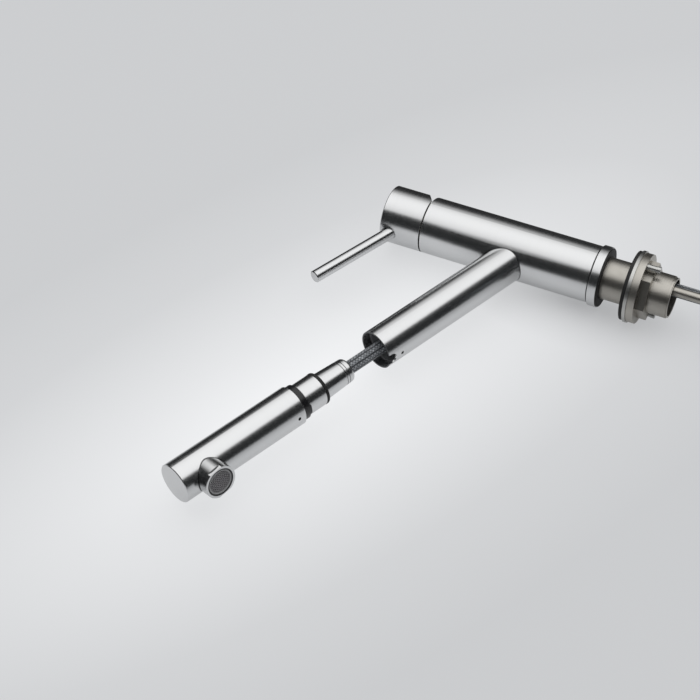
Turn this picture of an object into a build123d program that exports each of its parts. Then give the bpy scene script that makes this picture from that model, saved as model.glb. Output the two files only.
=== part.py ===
from build123d import *
from math import asin, ceil, cos, degrees, hypot, pi, radians, sin, tan
import os

# A single-lever kitchen faucet with a pull-out spray head.
# It stands upright on its deck: +Z runs up the column, the spout points to -Y and rises,
# and the origin is the middle of the base where it meets the deck.
# Millimetres throughout.

# Clearances

moving_gap = 0.3
running_fit = 0.05
seat_gap = 0.1

# Deck fixing

base_ring_overhang = 1.5
base_ring_height = 8.0
base_ring_edge = 0.4
base_seal_height = 1.0
base_seal_inset = 0.8
deck_thickness = 20.0
shank_wall = 2.15
shank_length = 55.0
shank_grip = 5.5
shank_edge = 0.8
rubber_washer_thickness = 3.0
clamp_washer_overhang = 1.0
clamp_washer_thickness = 2.5
nut_flange_width = 7.5
nut_flange_thickness = 6.0
nut_wall = 3.6
nut_hex_height = 7.0
jack_screw_diameter = 5.0
jack_screw_head_diameter = 5.6
jack_screw_head_height = 3.0
jack_screw_tail = 8.0

# Swivel bearing inside the foot of the column

spigot_height = 18.0
spigot_gap = 1.7
spigot_wall = 4.35
spigot_bore_play = 0.5
foot_washer_height = 0.6
foot_washer_inset = 0.4
foot_washer_width = 1.6
slide_ring_height = 3.0
slide_ring_margin = 1.6
swivel_reach = 60.0
stop_screw_diameter = 5.0
stop_screw_engagement = 1.5
stop_screw_recess = 0.4
stop_key_width = 2.5
stop_margin = 0.5

# Column and spout

column_diameter = 46.0
column_wall = 1.7
column_height = 149.9
column_relief_start = 4.5
column_relief_angle = 5.5
spout_diameter = 31.4
spout_wall = 1.2
spout_height = 70.4
spout_rise = 23.2
spout_reach = 157.2
slot_width = 9.6
slot_depth = 7.1
grub_hole_diameter = 2.7
spout_grub_from_mouth = 12.9
bush_length = 31.0
bush_wall = 1.0
bush_from_slot = 0.2
grub_screw_recess = 0.3
grub_key_width = 1.3

# Control cap and lever

cap_gap = 1.1
cap_height = 33.6
cap_wall = 1.5
cap_roof = 3.0
cap_edge = 0.5
cap_relief_start = 4.5
cap_relief_angle = 30.0
pivot_above_rim = 13.0
lever_lift = 25.0
lever_diameter = 10.0
lever_rise = 25.4
lever_above_rim = 14.5
lever_length = 102.3
lever_edge = 0.6
lever_seat = 20.0
lever_stud_diameter = 6.0
lever_boss_wall = 1.5
lever_boss_start = 12.0
spindle_boss_diameter = 15.0
spindle_boss_above_pivot = 8.0

# Cartridge

valve_top_recess = 0.5
valve_floor_wall = 3.0
valve_nut_wall = 1.7
port_inset = 4.95
mixed_port_angle = -11.0
cold_port_angle = 145.0
hot_port_angle = 215.0
port_thread_diameter = 9.8
port_thread_depth = 14.0
port_diameter = 5.2
seal_thickness = 1.3
seal_inset = 1.0
cartridge_shoulder = 0.7
cartridge_base_thickness = 2.9
cartridge_wall = 1.3
cartridge_roof = 5.5
cartridge_lip = 0.8
cartridge_lip_width = 2.0
cartridge_edge = 0.8
cartridge_nut_bite = 0.4
cartridge_nut_width = 2.45
fixed_disc_thickness = 4.0
disc_gap = 0.2
disc_play = 0.5
moving_disc_thickness = 7.1
moving_disc_pocket_depth = 5.0
pocket_above_foot = 0.5
turret_diameter = 23.4
turret_thickness = 4.0
turret_below_pivot = 7.1
turret_slot_length = 13.0
ear_gap = 0.6
ear_width = 4.0
ear_depth = 8.0
ear_above_pivot = 3.5
pivot_pin_diameter = 3.0
spindle_width = 8.0
spindle_hub_diameter = 5.6
spindle_stem_diameter = 4.4
spindle_foot_diameter = 5.8
spindle_drop = 10.0

# Pull-out head

pulled_out = 83.0
head_twist = 9.4
head_diameter = 31.4
head_length = 111.4
head_wall = 1.3
head_front_wall = 2.5
head_edge = 0.5
nub_from_front = 23.4
nub_diameter = 25.9
nub_projection = 8.35
nub_wall = 1.75
nub_flat_depth = 1.15
nub_flat_length = 2.7
nub_flat_angle = 9.5
head_grub_from_rear = 6.6
collar_length = 5.2
collar_diameter = 28.4
collar_depth = 11.8
key_reach = 1.5
key_width = 9.0
coupling_diameter = 26.0
coupling_length = 17.3
coupling_stub_diameter = 23.0
coupling_stub_length = 27.0
coupling_bore = 8.0
coupling_nose_diameter = 22.4
o_ring_width = 3.0
o_ring_diameter = 26.3
o_ring_edge = 1.0
clip_diameter = 17.8
clip_thickness = 1.2
clip_groove_depth = 0.8
ferrule_length = 27.9
ferrule_front_diameter = 21.7
ferrule_rear_diameter = 19.0
ferrule_nose = 2.5
ferrule_core_diameter = 16.0
ferrule_core_length = 13.5
ferrule_bore = 7.0
ferrule_grooves = 2
ferrule_groove_depth = 0.35
ferrule_groove_width = 0.6
ferrule_groove_from_end = 5.0
ferrule_groove_spacing = 2.4

# Waterway and aerator in the head

waterway_end_gap = 4.8
waterway_waist_diameter = 22.0
waterway_rear_land = 20.0
waterway_front_land = 21.9
waterway_bore = 8.0
outlet_bore = 7.0
aerator_seat_depth = 1.8
aerator_seal_thickness = 1.6
aerator_seal_width = 3.0
aerator_recess = 0.3
aerator_wall = 1.2
insert_wall = 0.7
insert_length = 3.0
mesh_recess = 0.9
mesh_thickness = 1.2
mesh_hole_diameter = 1.7
mesh_hole_pitch = 2.45
mesh_rings = 3
core_gap = 1.5
core_bore = 6.0

# Hose

hose_diameter = 10.8
hose_socket_depth = 13.5
hose_bend_radius = 60.0
hose_play = 0.45
hose_front_length = 71.4
hose_drop = 97.0
coil_radius = 63.0
coil_pitch = 13.5
coil_half_turns = 3
coil_samples = 600
turn_clear = 3
coil_return_angle = 75.0
tie_width = 6.0
tie_thickness = 1.2
tail_diameter = 7.6
tail_drop = 98.0
union_width = 16.0
union_length = 14.0
union_edge = 1.0

# Radii and levels that follow from the sizes above

column_radius = column_diameter / 2
column_bore_radius = column_radius - column_wall
column_bottom = base_ring_height + foot_washer_height + moving_gap
base_ring_diameter = column_diameter + 2 * base_ring_overhang
spigot_radius = column_bore_radius - spigot_gap
spigot_bore_radius = spigot_radius - spigot_wall
shank_bore = 2 * (spigot_bore_radius - spigot_bore_play)
shank_diameter = shank_bore + 2 * shank_wall
nut_hex_width = shank_diameter + 2 * nut_wall
nut_flange_diameter = nut_hex_width + 2 * nut_flange_width
clamp_washer_diameter = nut_flange_diameter + 2 * clamp_washer_overhang
spigot_top = base_ring_height + spigot_height
spout_radius = spout_diameter / 2
spout_bore_radius = spout_radius - spout_wall
bush_bore_radius = spout_bore_radius - running_fit - bush_wall
head_radius = head_diameter / 2
head_bore_radius = head_radius - head_wall
collar_radius = collar_diameter / 2
collar_bore_radius = coupling_stub_diameter / 2 + seat_gap
hose_radius = hose_diameter / 2
hose_offset = shank_bore / 2 - hose_radius - hose_play
port_radius = shank_bore / 2 - port_inset

cap_rim = column_height + cap_gap
cap_top = cap_rim + cap_height
cap_bore_radius = column_radius - cap_wall
pivot_height = cap_rim + pivot_above_rim
lever_radius = lever_diameter / 2

foot_height = pivot_height - spindle_drop
moving_disc_top = foot_height + pocket_above_foot
moving_disc_bottom = moving_disc_top - moving_disc_thickness
fixed_disc_bottom = moving_disc_bottom - disc_gap - fixed_disc_thickness
cartridge_bottom = fixed_disc_bottom - cartridge_base_thickness
valve_floor = cartridge_bottom - seal_thickness
valve_top = column_height - valve_top_recess
valve_nut_radius = column_bore_radius - running_fit - valve_nut_wall
flange_radius = valve_nut_radius - cartridge_nut_width + cartridge_nut_bite
cartridge_radius = flange_radius - cartridge_shoulder
cartridge_cavity_radius = cartridge_radius - cartridge_wall
fixed_disc_radius = cartridge_cavity_radius - moving_gap
moving_disc_radius = cartridge_cavity_radius - spindle_drop * sin(radians(lever_lift)) - disc_play
turret_bottom = pivot_height - turret_below_pivot
turret_top = turret_bottom + turret_thickness
cartridge_top = turret_top + moving_gap + cartridge_lip
cap_ceiling = cap_top - cap_roof

# The valve body stops above the hole through which the spout opens into the column
spout_crown = spout_height + column_bore_radius * tan(radians(spout_rise)) + spout_bore_radius / cos(radians(spout_rise))
valve_bottom = spout_crown + valve_floor_wall

# Stations along the spout's axis, from the column's axis outwards
slot_end = spout_reach - slot_depth
bush_front = slot_end - bush_from_slot
head_rear = spout_reach + pulled_out
head_front = head_rear + head_length
collar_rear = head_rear - collar_length
coupling_rear = collar_rear - coupling_length
ferrule_front = coupling_rear - o_ring_width - moving_gap
ferrule_rear = ferrule_front - ferrule_length
hose_front_end = ferrule_rear + hose_socket_depth
hose_split = hose_front_end - hose_front_length
nub_station = head_front - nub_from_front
nub_radius = nub_diameter / 2
nub_bore_radius = nub_radius - nub_wall
nub_face = head_radius + nub_projection
coupling_front = collar_rear + coupling_stub_length
clip_station = (coupling_rear + collar_rear) / 2

# Frames

spout_plane = Plane(
    origin=(0, 0, spout_height),
    x_dir=(1, 0, 0),
    z_dir=(0, -cos(radians(spout_rise)), sin(radians(spout_rise))),
)
spout_axis = Axis(spout_plane.origin, spout_plane.z_dir)
head_plane = Plane(
    origin=spout_plane.origin,
    x_dir=spout_plane.x_dir.rotate(Axis((0, 0, 0), spout_plane.z_dir), head_twist),
    z_dir=spout_plane.z_dir,
)
lever_plane = Plane(
    origin=(0, 0, cap_rim + lever_above_rim),
    x_dir=(1, 0, 0),
    z_dir=(0, -cos(radians(lever_rise)), sin(radians(lever_rise))),
)
lever_axis = Axis(lever_plane.origin, lever_plane.z_dir)


def below(axis_plane, station):
    """A plane on an inclined axis whose normal points to the underside, with its Y along the axis."""
    at = axis_plane.offset(station)
    return Plane(origin=at.origin, x_dir=at.x_dir, z_dir=-at.y_dir)


slot_plane = below(spout_plane, spout_reach)
spout_grub_plane = below(spout_plane, spout_reach - spout_grub_from_mouth)
key_plane = below(head_plane, collar_rear)
head_grub_plane = below(head_plane, head_rear + head_grub_from_rear)
nub_plane = below(head_plane, nub_station)

port_angles = [mixed_port_angle, cold_port_angle, hot_port_angle]
port_points = [(port_radius * cos(radians(a)), port_radius * sin(radians(a))) for a in port_angles]
tail_x, tail_y = port_points[0]

# Base ring with the spigot on which the column turns

stop_height = base_ring_height + spigot_height / 2
stop_plane = Plane(origin=(0, 0, stop_height), x_dir=(1, 0, 0), z_dir=(0, 1, 0))
stop_groove_radius = spigot_radius - stop_screw_engagement - moving_gap
stop_groove_half_height = stop_screw_diameter / 2 + moving_gap
stop_groove_depth = column_bore_radius - stop_groove_radius
stop_groove_half_angle = swivel_reach + stop_margin + degrees(asin(stop_groove_half_height / stop_groove_radius))

with BuildPart() as base_ring:
    with BuildSketch(Plane.XY.offset(base_seal_height)):
        Circle(base_ring_diameter / 2)
    extrude(amount=base_ring_height - base_seal_height)
    chamfer(base_ring.faces().sort_by(Axis.Z)[-1].edges(), base_ring_edge)
    with BuildSketch(Plane.XY.offset(base_ring_height)):
        Circle(spigot_radius)
    extrude(amount=spigot_height)
    with BuildSketch(Plane.XY.offset(base_seal_height)):
        Circle(spigot_bore_radius)
    extrude(amount=spigot_top, mode=Mode.SUBTRACT)
    with BuildSketch(Plane.XY.offset(base_seal_height)):
        Circle(shank_diameter / 2 + seat_gap)
    extrude(amount=shank_grip - base_seal_height, mode=Mode.SUBTRACT)
    # groove that the stop screw runs in
    with BuildSketch(Plane.YZ):
        with Locations((stop_groove_radius + stop_groove_depth / 2, stop_height)):
            Rectangle(stop_groove_depth, 2 * stop_groove_half_height)
    revolve(axis=Axis.Z, revolution_arc=stop_groove_half_angle, mode=Mode.SUBTRACT)
    with BuildSketch(Plane.YZ):
        with Locations((stop_groove_radius + stop_groove_depth / 2, stop_height)):
            Rectangle(stop_groove_depth, 2 * stop_groove_half_height)
    revolve(axis=Axis.Z, revolution_arc=-stop_groove_half_angle, mode=Mode.SUBTRACT)

with BuildPart() as base_seal:
    with BuildSketch(Plane.XY):
        Circle(base_ring_diameter / 2 - base_seal_inset)
        Circle(shank_diameter / 2 + seat_gap, mode=Mode.SUBTRACT)
    extrude(amount=base_seal_height)

with BuildPart() as foot_washer:
    with BuildSketch(Plane.XY.offset(base_ring_height)):
        Circle(column_radius - foot_washer_inset)
        Circle(column_radius - foot_washer_inset - foot_washer_width, mode=Mode.SUBTRACT)
    extrude(amount=foot_washer_height)

with BuildPart() as slide_rings:
    low = base_ring_height + slide_ring_margin
    high = spigot_top - slide_ring_margin - slide_ring_height
    for level in (low, high):
        with BuildSketch(Plane.XY.offset(level)):
            Circle(column_bore_radius - running_fit)
            Circle(spigot_radius + running_fit, mode=Mode.SUBTRACT)
        extrude(amount=slide_ring_height)

# Shank, washers and nut that clamp the deck

with BuildPart() as threaded_shank:
    with BuildSketch(Plane.XY.offset(-shank_length)):
        Circle(shank_diameter / 2)
        Circle(shank_bore / 2, mode=Mode.SUBTRACT)
    extrude(amount=shank_length + shank_grip)
    chamfer(threaded_shank.edges().group_by(Axis.Z)[0].sort_by(SortBy.RADIUS)[-1], shank_edge)

rubber_top = -deck_thickness
clamp_top = rubber_top - rubber_washer_thickness
nut_top = clamp_top - clamp_washer_thickness

with BuildPart() as rubber_washer:
    with BuildSketch(Plane.XY.offset(clamp_top)):
        Circle(nut_flange_diameter / 2)
        Circle(shank_diameter / 2 + moving_gap, mode=Mode.SUBTRACT)
    extrude(amount=rubber_washer_thickness)

with BuildPart() as clamp_washer:
    with BuildSketch(Plane.XY.offset(nut_top)):
        Circle(clamp_washer_diameter / 2)
        Circle(shank_diameter / 2 + moving_gap, mode=Mode.SUBTRACT)
    extrude(amount=clamp_washer_thickness)

jack_screw_circle = (nut_flange_diameter + nut_hex_width) / 4
jack_screw_length = nut_flange_thickness + jack_screw_tail

with BuildPart() as mounting_nut:
    with BuildSketch(Plane.XY.offset(nut_top - nut_flange_thickness)):
        Circle(nut_flange_diameter / 2)
        Circle(shank_diameter / 2 + seat_gap, mode=Mode.SUBTRACT)
        with PolarLocations(jack_screw_circle, 2):
            Circle(jack_screw_diameter / 2 + seat_gap, mode=Mode.SUBTRACT)
    extrude(amount=nut_flange_thickness)
    with BuildSketch(Plane.XY.offset(nut_top - nut_flange_thickness - nut_hex_height)):
        RegularPolygon(nut_hex_width / 2, 6, major_radius=False, rotation=30)
        Circle(shank_diameter / 2 + seat_gap, mode=Mode.SUBTRACT)
    extrude(amount=nut_hex_height)

with BuildPart() as jack_screws:
    with BuildSketch(Plane.XY.offset(nut_top - jack_screw_length)):
        with PolarLocations(jack_screw_circle, 2):
            Circle(jack_screw_diameter / 2)
    extrude(amount=jack_screw_length)
    with BuildSketch(Plane.XY.offset(nut_top - jack_screw_length - jack_screw_head_height)):
        with PolarLocations(jack_screw_circle, 2):
            Circle(jack_screw_head_diameter / 2)
    extrude(amount=jack_screw_head_height)

# Column with its spout

relief_reach = 2 * column_radius


def relief(start, level, angle):
    """The wedge cut from the back of a rim, in the plane of symmetry."""
    return [(start, level), (relief_reach, level), (relief_reach, level + (relief_reach - start) * tan(radians(angle)))]


with BuildPart() as column:
    with BuildSketch(Plane.XY.offset(column_bottom)):
        Circle(column_radius)
    extrude(amount=column_height - column_bottom)
    with BuildSketch(spout_plane):
        Circle(spout_radius)
    extrude(amount=spout_reach)
    # both tubes are bored after they are joined, so that the spout opens into the column
    with BuildSketch(Plane.XY.offset(column_bottom)):
        Circle(column_bore_radius)
    extrude(amount=column_height - column_bottom, mode=Mode.SUBTRACT)
    with BuildSketch(spout_plane):
        Circle(spout_bore_radius)
    extrude(amount=spout_reach, mode=Mode.SUBTRACT)
    # the rim falls away at the back, under the cap's own relief
    with BuildSketch(Plane.YZ):
        with BuildLine():
            Polyline(*relief(column_relief_start, column_height, -column_relief_angle), close=True)
        make_face()
    extrude(amount=column_diameter, both=True, mode=Mode.SUBTRACT)
    # docking slot in the underside of the mouth
    with BuildSketch(slot_plane):
        with Locations((0, -(slot_depth - slot_width / 2))):
            Circle(slot_width / 2)
        with Locations((0, -(slot_depth - slot_width / 2) / 2)):
            Rectangle(slot_width, slot_depth - slot_width / 2)
    extrude(amount=spout_diameter, mode=Mode.SUBTRACT)
    with BuildSketch(spout_grub_plane):
        Circle(grub_hole_diameter / 2)
    extrude(amount=spout_diameter, mode=Mode.SUBTRACT)
    # hole for the stop screw at the back of the foot
    with BuildSketch(stop_plane):
        Circle(stop_screw_diameter / 2)
    extrude(amount=column_diameter, mode=Mode.SUBTRACT)


with BuildPart() as docking_bush:
    with BuildSketch(spout_plane.offset(bush_front - bush_length)):
        Circle(spout_bore_radius - running_fit)
        Circle(bush_bore_radius, mode=Mode.SUBTRACT)
    extrude(amount=bush_length)
    with BuildSketch(spout_grub_plane):
        Circle(grub_hole_diameter / 2)
    extrude(amount=spout_diameter, mode=Mode.SUBTRACT)


def set_screw(plane, diameter, key_width, tip, end):
    """A screw with a hexagon socket, fitted in a hole of the given diameter from tip to end above the plane."""
    with BuildPart() as screw:
        with BuildSketch(plane.offset(tip)):
            Circle(diameter / 2 - running_fit)
        extrude(amount=end - tip)
        with BuildSketch(plane.offset(end)):
            RegularPolygon(key_width / 2, 6, major_radius=False)
        extrude(amount=-key_width, mode=Mode.SUBTRACT)
    return screw


stop_screw = set_screw(
    stop_plane, stop_screw_diameter, stop_key_width, spigot_radius - stop_screw_engagement, column_radius - stop_screw_recess
)
spout_grub_screw = set_screw(
    spout_grub_plane, grub_hole_diameter, grub_key_width, bush_bore_radius + seat_gap, spout_radius - grub_screw_recess
)
head_grub_screw = set_screw(
    head_grub_plane, grub_hole_diameter, grub_key_width, collar_bore_radius + seat_gap, head_radius - grub_screw_recess
)

# Valve body and cartridge

with BuildPart() as valve_body:
    with BuildSketch(Plane.XY.offset(valve_bottom)):
        Circle(column_bore_radius - running_fit)
    extrude(amount=valve_top - valve_bottom)
    with BuildSketch(Plane.XY.offset(valve_floor)):
        Circle(flange_radius + moving_gap)
    extrude(amount=valve_top - valve_floor, mode=Mode.SUBTRACT)
    with BuildSketch(Plane.XY.offset(fixed_disc_bottom)):
        Circle(valve_nut_radius + seat_gap)
    extrude(amount=valve_top - fixed_disc_bottom, mode=Mode.SUBTRACT)
    with BuildSketch(Plane.XY.offset(valve_bottom)):
        with Locations(*port_points):
            Circle(port_diameter / 2)
    extrude(amount=valve_floor - valve_bottom, mode=Mode.SUBTRACT)
    with BuildSketch(Plane.XY.offset(valve_bottom)):
        with Locations(*port_points):
            Circle(port_thread_diameter / 2)
    extrude(amount=port_thread_depth, mode=Mode.SUBTRACT)
    # the back of the rim is cut to the column's slope
    with BuildSketch(Plane.YZ):
        with BuildLine():
            Polyline(*relief(column_relief_start, valve_top, -column_relief_angle), close=True)
        make_face()
    extrude(amount=column_diameter, both=True, mode=Mode.SUBTRACT)

with BuildPart() as cartridge_seal:
    with BuildSketch(Plane.XY.offset(valve_floor)):
        Circle(flange_radius - seal_inset)
        with Locations(*port_points):
            Circle(port_diameter / 2, mode=Mode.SUBTRACT)
    extrude(amount=seal_thickness)

with BuildPart() as cartridge_base:
    with BuildSketch(Plane.XY.offset(cartridge_bottom)):
        Circle(flange_radius)
        with Locations(*port_points):
            Circle(port_diameter / 2, mode=Mode.SUBTRACT)
    extrude(amount=cartridge_base_thickness)

with BuildPart() as fixed_disc:
    with BuildSketch(Plane.XY.offset(fixed_disc_bottom)):
        Circle(fixed_disc_radius)
        with Locations(*port_points):
            Circle(port_diameter / 2, mode=Mode.SUBTRACT)
    extrude(amount=fixed_disc_thickness)

cartridge_ceiling = cartridge_top - cartridge_roof

with BuildPart() as cartridge_housing:
    with BuildSketch(Plane.XY.offset(fixed_disc_bottom)):
        Circle(cartridge_radius)
    extrude(amount=cartridge_top - fixed_disc_bottom)
    chamfer(cartridge_housing.edges().group_by(Axis.Z)[-1], cartridge_edge)
    with BuildSketch(Plane.XY.offset(fixed_disc_bottom)):
        Circle(cartridge_cavity_radius)
    extrude(amount=cartridge_ceiling - fixed_disc_bottom, mode=Mode.SUBTRACT)
    with BuildSketch(Plane.XY.offset(fixed_disc_bottom)):
        Circle(turret_diameter / 2 + moving_gap)
    extrude(amount=turret_top + moving_gap - fixed_disc_bottom, mode=Mode.SUBTRACT)
    with BuildSketch(Plane.XY.offset(fixed_disc_bottom)):
        Circle(turret_diameter / 2 + moving_gap - cartridge_lip_width)
    extrude(amount=cartridge_top - fixed_disc_bottom, mode=Mode.SUBTRACT)

with BuildPart() as cartridge_nut:
    with BuildSketch(Plane.XY.offset(fixed_disc_bottom + running_fit)):
        Circle(valve_nut_radius)
        Circle(flange_radius - cartridge_nut_bite, mode=Mode.SUBTRACT)
    extrude(amount=valve_top - fixed_disc_bottom - running_fit)
    with BuildSketch(Plane.YZ):
        with BuildLine():
            Polyline(*relief(column_relief_start, valve_top, -column_relief_angle), close=True)
        make_face()
    extrude(amount=column_diameter, both=True, mode=Mode.SUBTRACT)

with BuildPart() as moving_disc:
    with BuildSketch(Plane.XY.offset(moving_disc_bottom)):
        Circle(moving_disc_radius)
    extrude(amount=moving_disc_thickness)
    with BuildSketch(Plane.XY.offset(moving_disc_top)):
        Circle(spindle_foot_diameter / 2 + moving_gap)
    extrude(amount=-moving_disc_pocket_depth, mode=Mode.SUBTRACT)

ear_inner = spindle_width / 2 + ear_gap

with BuildPart() as turret:
    with BuildSketch(Plane.XY.offset(turret_bottom)):
        Circle(turret_diameter / 2)
        Rectangle(spindle_stem_diameter + 2 * ear_gap, turret_slot_length, mode=Mode.SUBTRACT)
    extrude(amount=turret_thickness)
    with BuildSketch(Plane.XY.offset(turret_top)):
        with GridLocations(2 * ear_inner + ear_width, 0, 2, 1):
            Rectangle(ear_width, ear_depth)
    extrude(amount=pivot_height + ear_above_pivot - turret_top)
    with BuildSketch(Plane.YZ):
        with Locations((0, pivot_height)):
            Circle(pivot_pin_diameter / 2 + running_fit)
    extrude(amount=turret_diameter, both=True, mode=Mode.SUBTRACT)

with BuildPart() as pivot_pin:
    with BuildSketch(Plane.YZ):
        with Locations((0, pivot_height)):
            Circle(pivot_pin_diameter / 2)
    extrude(amount=ear_inner + ear_width, both=True)

# Spindle: a square head for the cap, a stem, and a round foot that drives the moving disc

with BuildPart() as spindle:
    with BuildSketch(Plane.XY.offset(pivot_height)):
        Rectangle(spindle_width, spindle_width)
    extrude(amount=cap_ceiling - moving_gap - pivot_height)
    with BuildSketch(Plane.YZ):
        with Locations((0, pivot_height)):
            Circle(spindle_hub_diameter / 2)
    extrude(amount=spindle_width / 2, both=True)
    with BuildSketch(Plane.XY.offset(foot_height)):
        Circle(spindle_stem_diameter / 2)
    extrude(amount=spindle_drop)
    with BuildSketch(Plane.XZ):
        with BuildLine():
            CenterArc((0, foot_height), spindle_foot_diameter / 2, -90, 180)
            Line((0, foot_height - spindle_foot_diameter / 2), (0, foot_height + spindle_foot_diameter / 2))
        make_face()
    revolve(axis=Axis.Z)
    with BuildSketch(Plane.YZ):
        with Locations((0, pivot_height)):
            Circle(pivot_pin_diameter / 2 + running_fit)
    extrude(amount=spindle_width, both=True, mode=Mode.SUBTRACT)

# Control cap: a cup that rocks on the spindle, with its back rim cut away for the stroke

with BuildPart() as control_cap:
    with BuildSketch(Plane.XY.offset(cap_rim)):
        Circle(column_radius)
    extrude(amount=cap_height)
    chamfer(control_cap.edges().group_by(Axis.Z)[-1], cap_edge)
    with BuildSketch(Plane.XY.offset(cap_rim)):
        Circle(cap_bore_radius)
    extrude(amount=cap_ceiling - cap_rim, mode=Mode.SUBTRACT)
    with BuildSketch(Plane.XY.offset(pivot_height + spindle_boss_above_pivot)):
        Circle(spindle_boss_diameter / 2)
    extrude(until=Until.NEXT)
    with BuildSketch(lever_plane.offset(lever_boss_start)):
        Circle(lever_radius + lever_boss_wall)
    extrude(until=Until.NEXT)
    with BuildSketch(Plane.XY.offset(pivot_height + spindle_boss_above_pivot)):
        Rectangle(spindle_width + 2 * running_fit, spindle_width + 2 * running_fit)
    extrude(amount=cap_ceiling - pivot_height - spindle_boss_above_pivot, mode=Mode.SUBTRACT)
    with BuildSketch(lever_plane.offset(lever_seat)):
        Circle(lever_radius + running_fit)
    extrude(amount=column_diameter, mode=Mode.SUBTRACT)
    with BuildSketch(lever_plane):
        Circle(lever_stud_diameter / 2 + running_fit)
    extrude(amount=column_diameter, mode=Mode.SUBTRACT)
    with BuildSketch(Plane.YZ):
        with BuildLine():
            Polyline(*relief(cap_relief_start, cap_rim, cap_relief_angle), close=True)
        make_face()
    extrude(amount=column_diameter, both=True, mode=Mode.SUBTRACT)

# The lever's stud runs through the cap's boss and bears on the spindle
stud_start = (spindle_width / 2 + seat_gap + lever_stud_diameter / 2 * sin(radians(lever_rise))) / cos(radians(lever_rise))

with BuildPart() as lever:
    with BuildSketch(lever_plane.offset(lever_seat)):
        Circle(lever_radius)
    extrude(amount=lever_length - lever_seat)
    chamfer(lever.edges().filter_by(GeomType.CIRCLE).sort_by(lever_axis)[-1], lever_edge)
    with BuildSketch(lever_plane.offset(stud_start)):
        Circle(lever_stud_diameter / 2)
    extrude(amount=lever_seat - stud_start)

# Pull-out head: a closed tube with the outlet coped into its underside

with BuildPart() as head_shell:
    with BuildSketch(head_plane.offset(head_rear)):
        Circle(head_radius)
    extrude(amount=head_length)
    chamfer(head_shell.edges().filter_by(GeomType.CIRCLE), head_edge)
    with BuildSketch(nub_plane):
        Circle(nub_radius)
    extrude(amount=nub_face)
    with BuildSketch(head_plane.offset(head_rear)):
        Circle(head_bore_radius)
    extrude(amount=head_length - head_front_wall, mode=Mode.SUBTRACT)
    with BuildSketch(nub_plane):
        Circle(nub_bore_radius)
    extrude(amount=nub_face, mode=Mode.SUBTRACT)
    # two spanner flats on the rim of the outlet
    with BuildSketch(nub_plane.offset(nub_face - nub_flat_length)):
        with PolarLocations(nub_diameter - nub_flat_depth, 2, nub_flat_angle):
            Rectangle(nub_diameter, nub_diameter)
    extrude(amount=nub_flat_length, mode=Mode.SUBTRACT)
    with BuildSketch(head_grub_plane):
        Circle(grub_hole_diameter / 2)
    extrude(amount=head_diameter, mode=Mode.SUBTRACT)

with BuildPart() as collar:
    # docking key, as wide as the slot in the spout's mouth, cut to the collar's own curve
    with BuildSketch(key_plane):
        with Locations((0, (collar_length / 2 - key_reach) / 2)):
            RectangleRounded(key_width, collar_length / 2 + key_reach, key_reach)
    extrude(amount=collar_radius)
    with BuildSketch(head_plane.offset(collar_rear - collar_radius)):
        Circle(collar_radius)
    extrude(amount=collar_diameter, mode=Mode.INTERSECT)
    with BuildSketch(head_plane.offset(collar_rear)):
        Circle(collar_radius)
    extrude(amount=collar_length)
    with BuildSketch(head_plane.offset(collar_rear)):
        Circle(head_bore_radius - seat_gap)
    extrude(amount=collar_length + collar_depth)
    with BuildSketch(head_plane.offset(collar_rear + collar_length)):
        Circle(head_radius)
        Circle(head_bore_radius - seat_gap, mode=Mode.SUBTRACT)
    extrude(amount=collar_depth, mode=Mode.SUBTRACT)
    with BuildSketch(head_plane.offset(collar_rear)):
        Circle(collar_bore_radius)
    extrude(amount=collar_length + collar_depth, mode=Mode.SUBTRACT)
    with BuildSketch(head_plane.offset(collar_rear - collar_radius)):
        Circle(coupling_diameter / 2 + seat_gap)
    extrude(amount=collar_radius, mode=Mode.SUBTRACT)
    with BuildSketch(head_grub_plane):
        Circle(grub_hole_diameter / 2)
    extrude(amount=head_diameter, mode=Mode.SUBTRACT)

# Coupling on which the head turns: it is clipped round the core of the hose's ferrule

with BuildPart() as coupling:
    with BuildSketch(head_plane.offset(coupling_rear)):
        Circle(coupling_diameter / 2)
    extrude(amount=coupling_length)
    with BuildSketch(head_plane.offset(coupling_rear - o_ring_width)):
        Circle(coupling_nose_diameter / 2)
    extrude(amount=o_ring_width)
    with BuildSketch(head_plane.offset(collar_rear)):
        Circle(coupling_stub_diameter / 2)
    extrude(amount=coupling_stub_length)
    with BuildSketch(head_plane.offset(ferrule_front)):
        Circle(ferrule_core_diameter / 2 + running_fit)
    extrude(amount=ferrule_core_length + moving_gap, mode=Mode.SUBTRACT)
    with BuildSketch(head_plane.offset(ferrule_front)):
        Circle(coupling_bore / 2)
    extrude(amount=head_length, mode=Mode.SUBTRACT)
    with BuildSketch(head_plane.offset(clip_station - clip_thickness / 2 - seat_gap)):
        Circle(clip_diameter / 2 + seat_gap)
    extrude(amount=clip_thickness + 2 * seat_gap, mode=Mode.SUBTRACT)

with BuildPart() as coupling_o_ring:
    with BuildSketch(head_plane.offset(coupling_rear - o_ring_width)):
        Circle(o_ring_diameter / 2)
    extrude(amount=o_ring_width)
    fillet(coupling_o_ring.edges().filter_by(GeomType.CIRCLE), o_ring_edge)
    with BuildSketch(head_plane.offset(coupling_rear - o_ring_width)):
        Circle(coupling_nose_diameter / 2 + running_fit)
    extrude(amount=o_ring_width, mode=Mode.SUBTRACT)

with BuildPart() as coupling_clip:
    with BuildSketch(head_plane.offset(clip_station - clip_thickness / 2)):
        Circle(clip_diameter / 2)
        Circle(ferrule_core_diameter / 2 - clip_groove_depth + running_fit, mode=Mode.SUBTRACT)
    extrude(amount=clip_thickness)

# Ferrule on the hose, turned in one piece about the spout's axis

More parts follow.
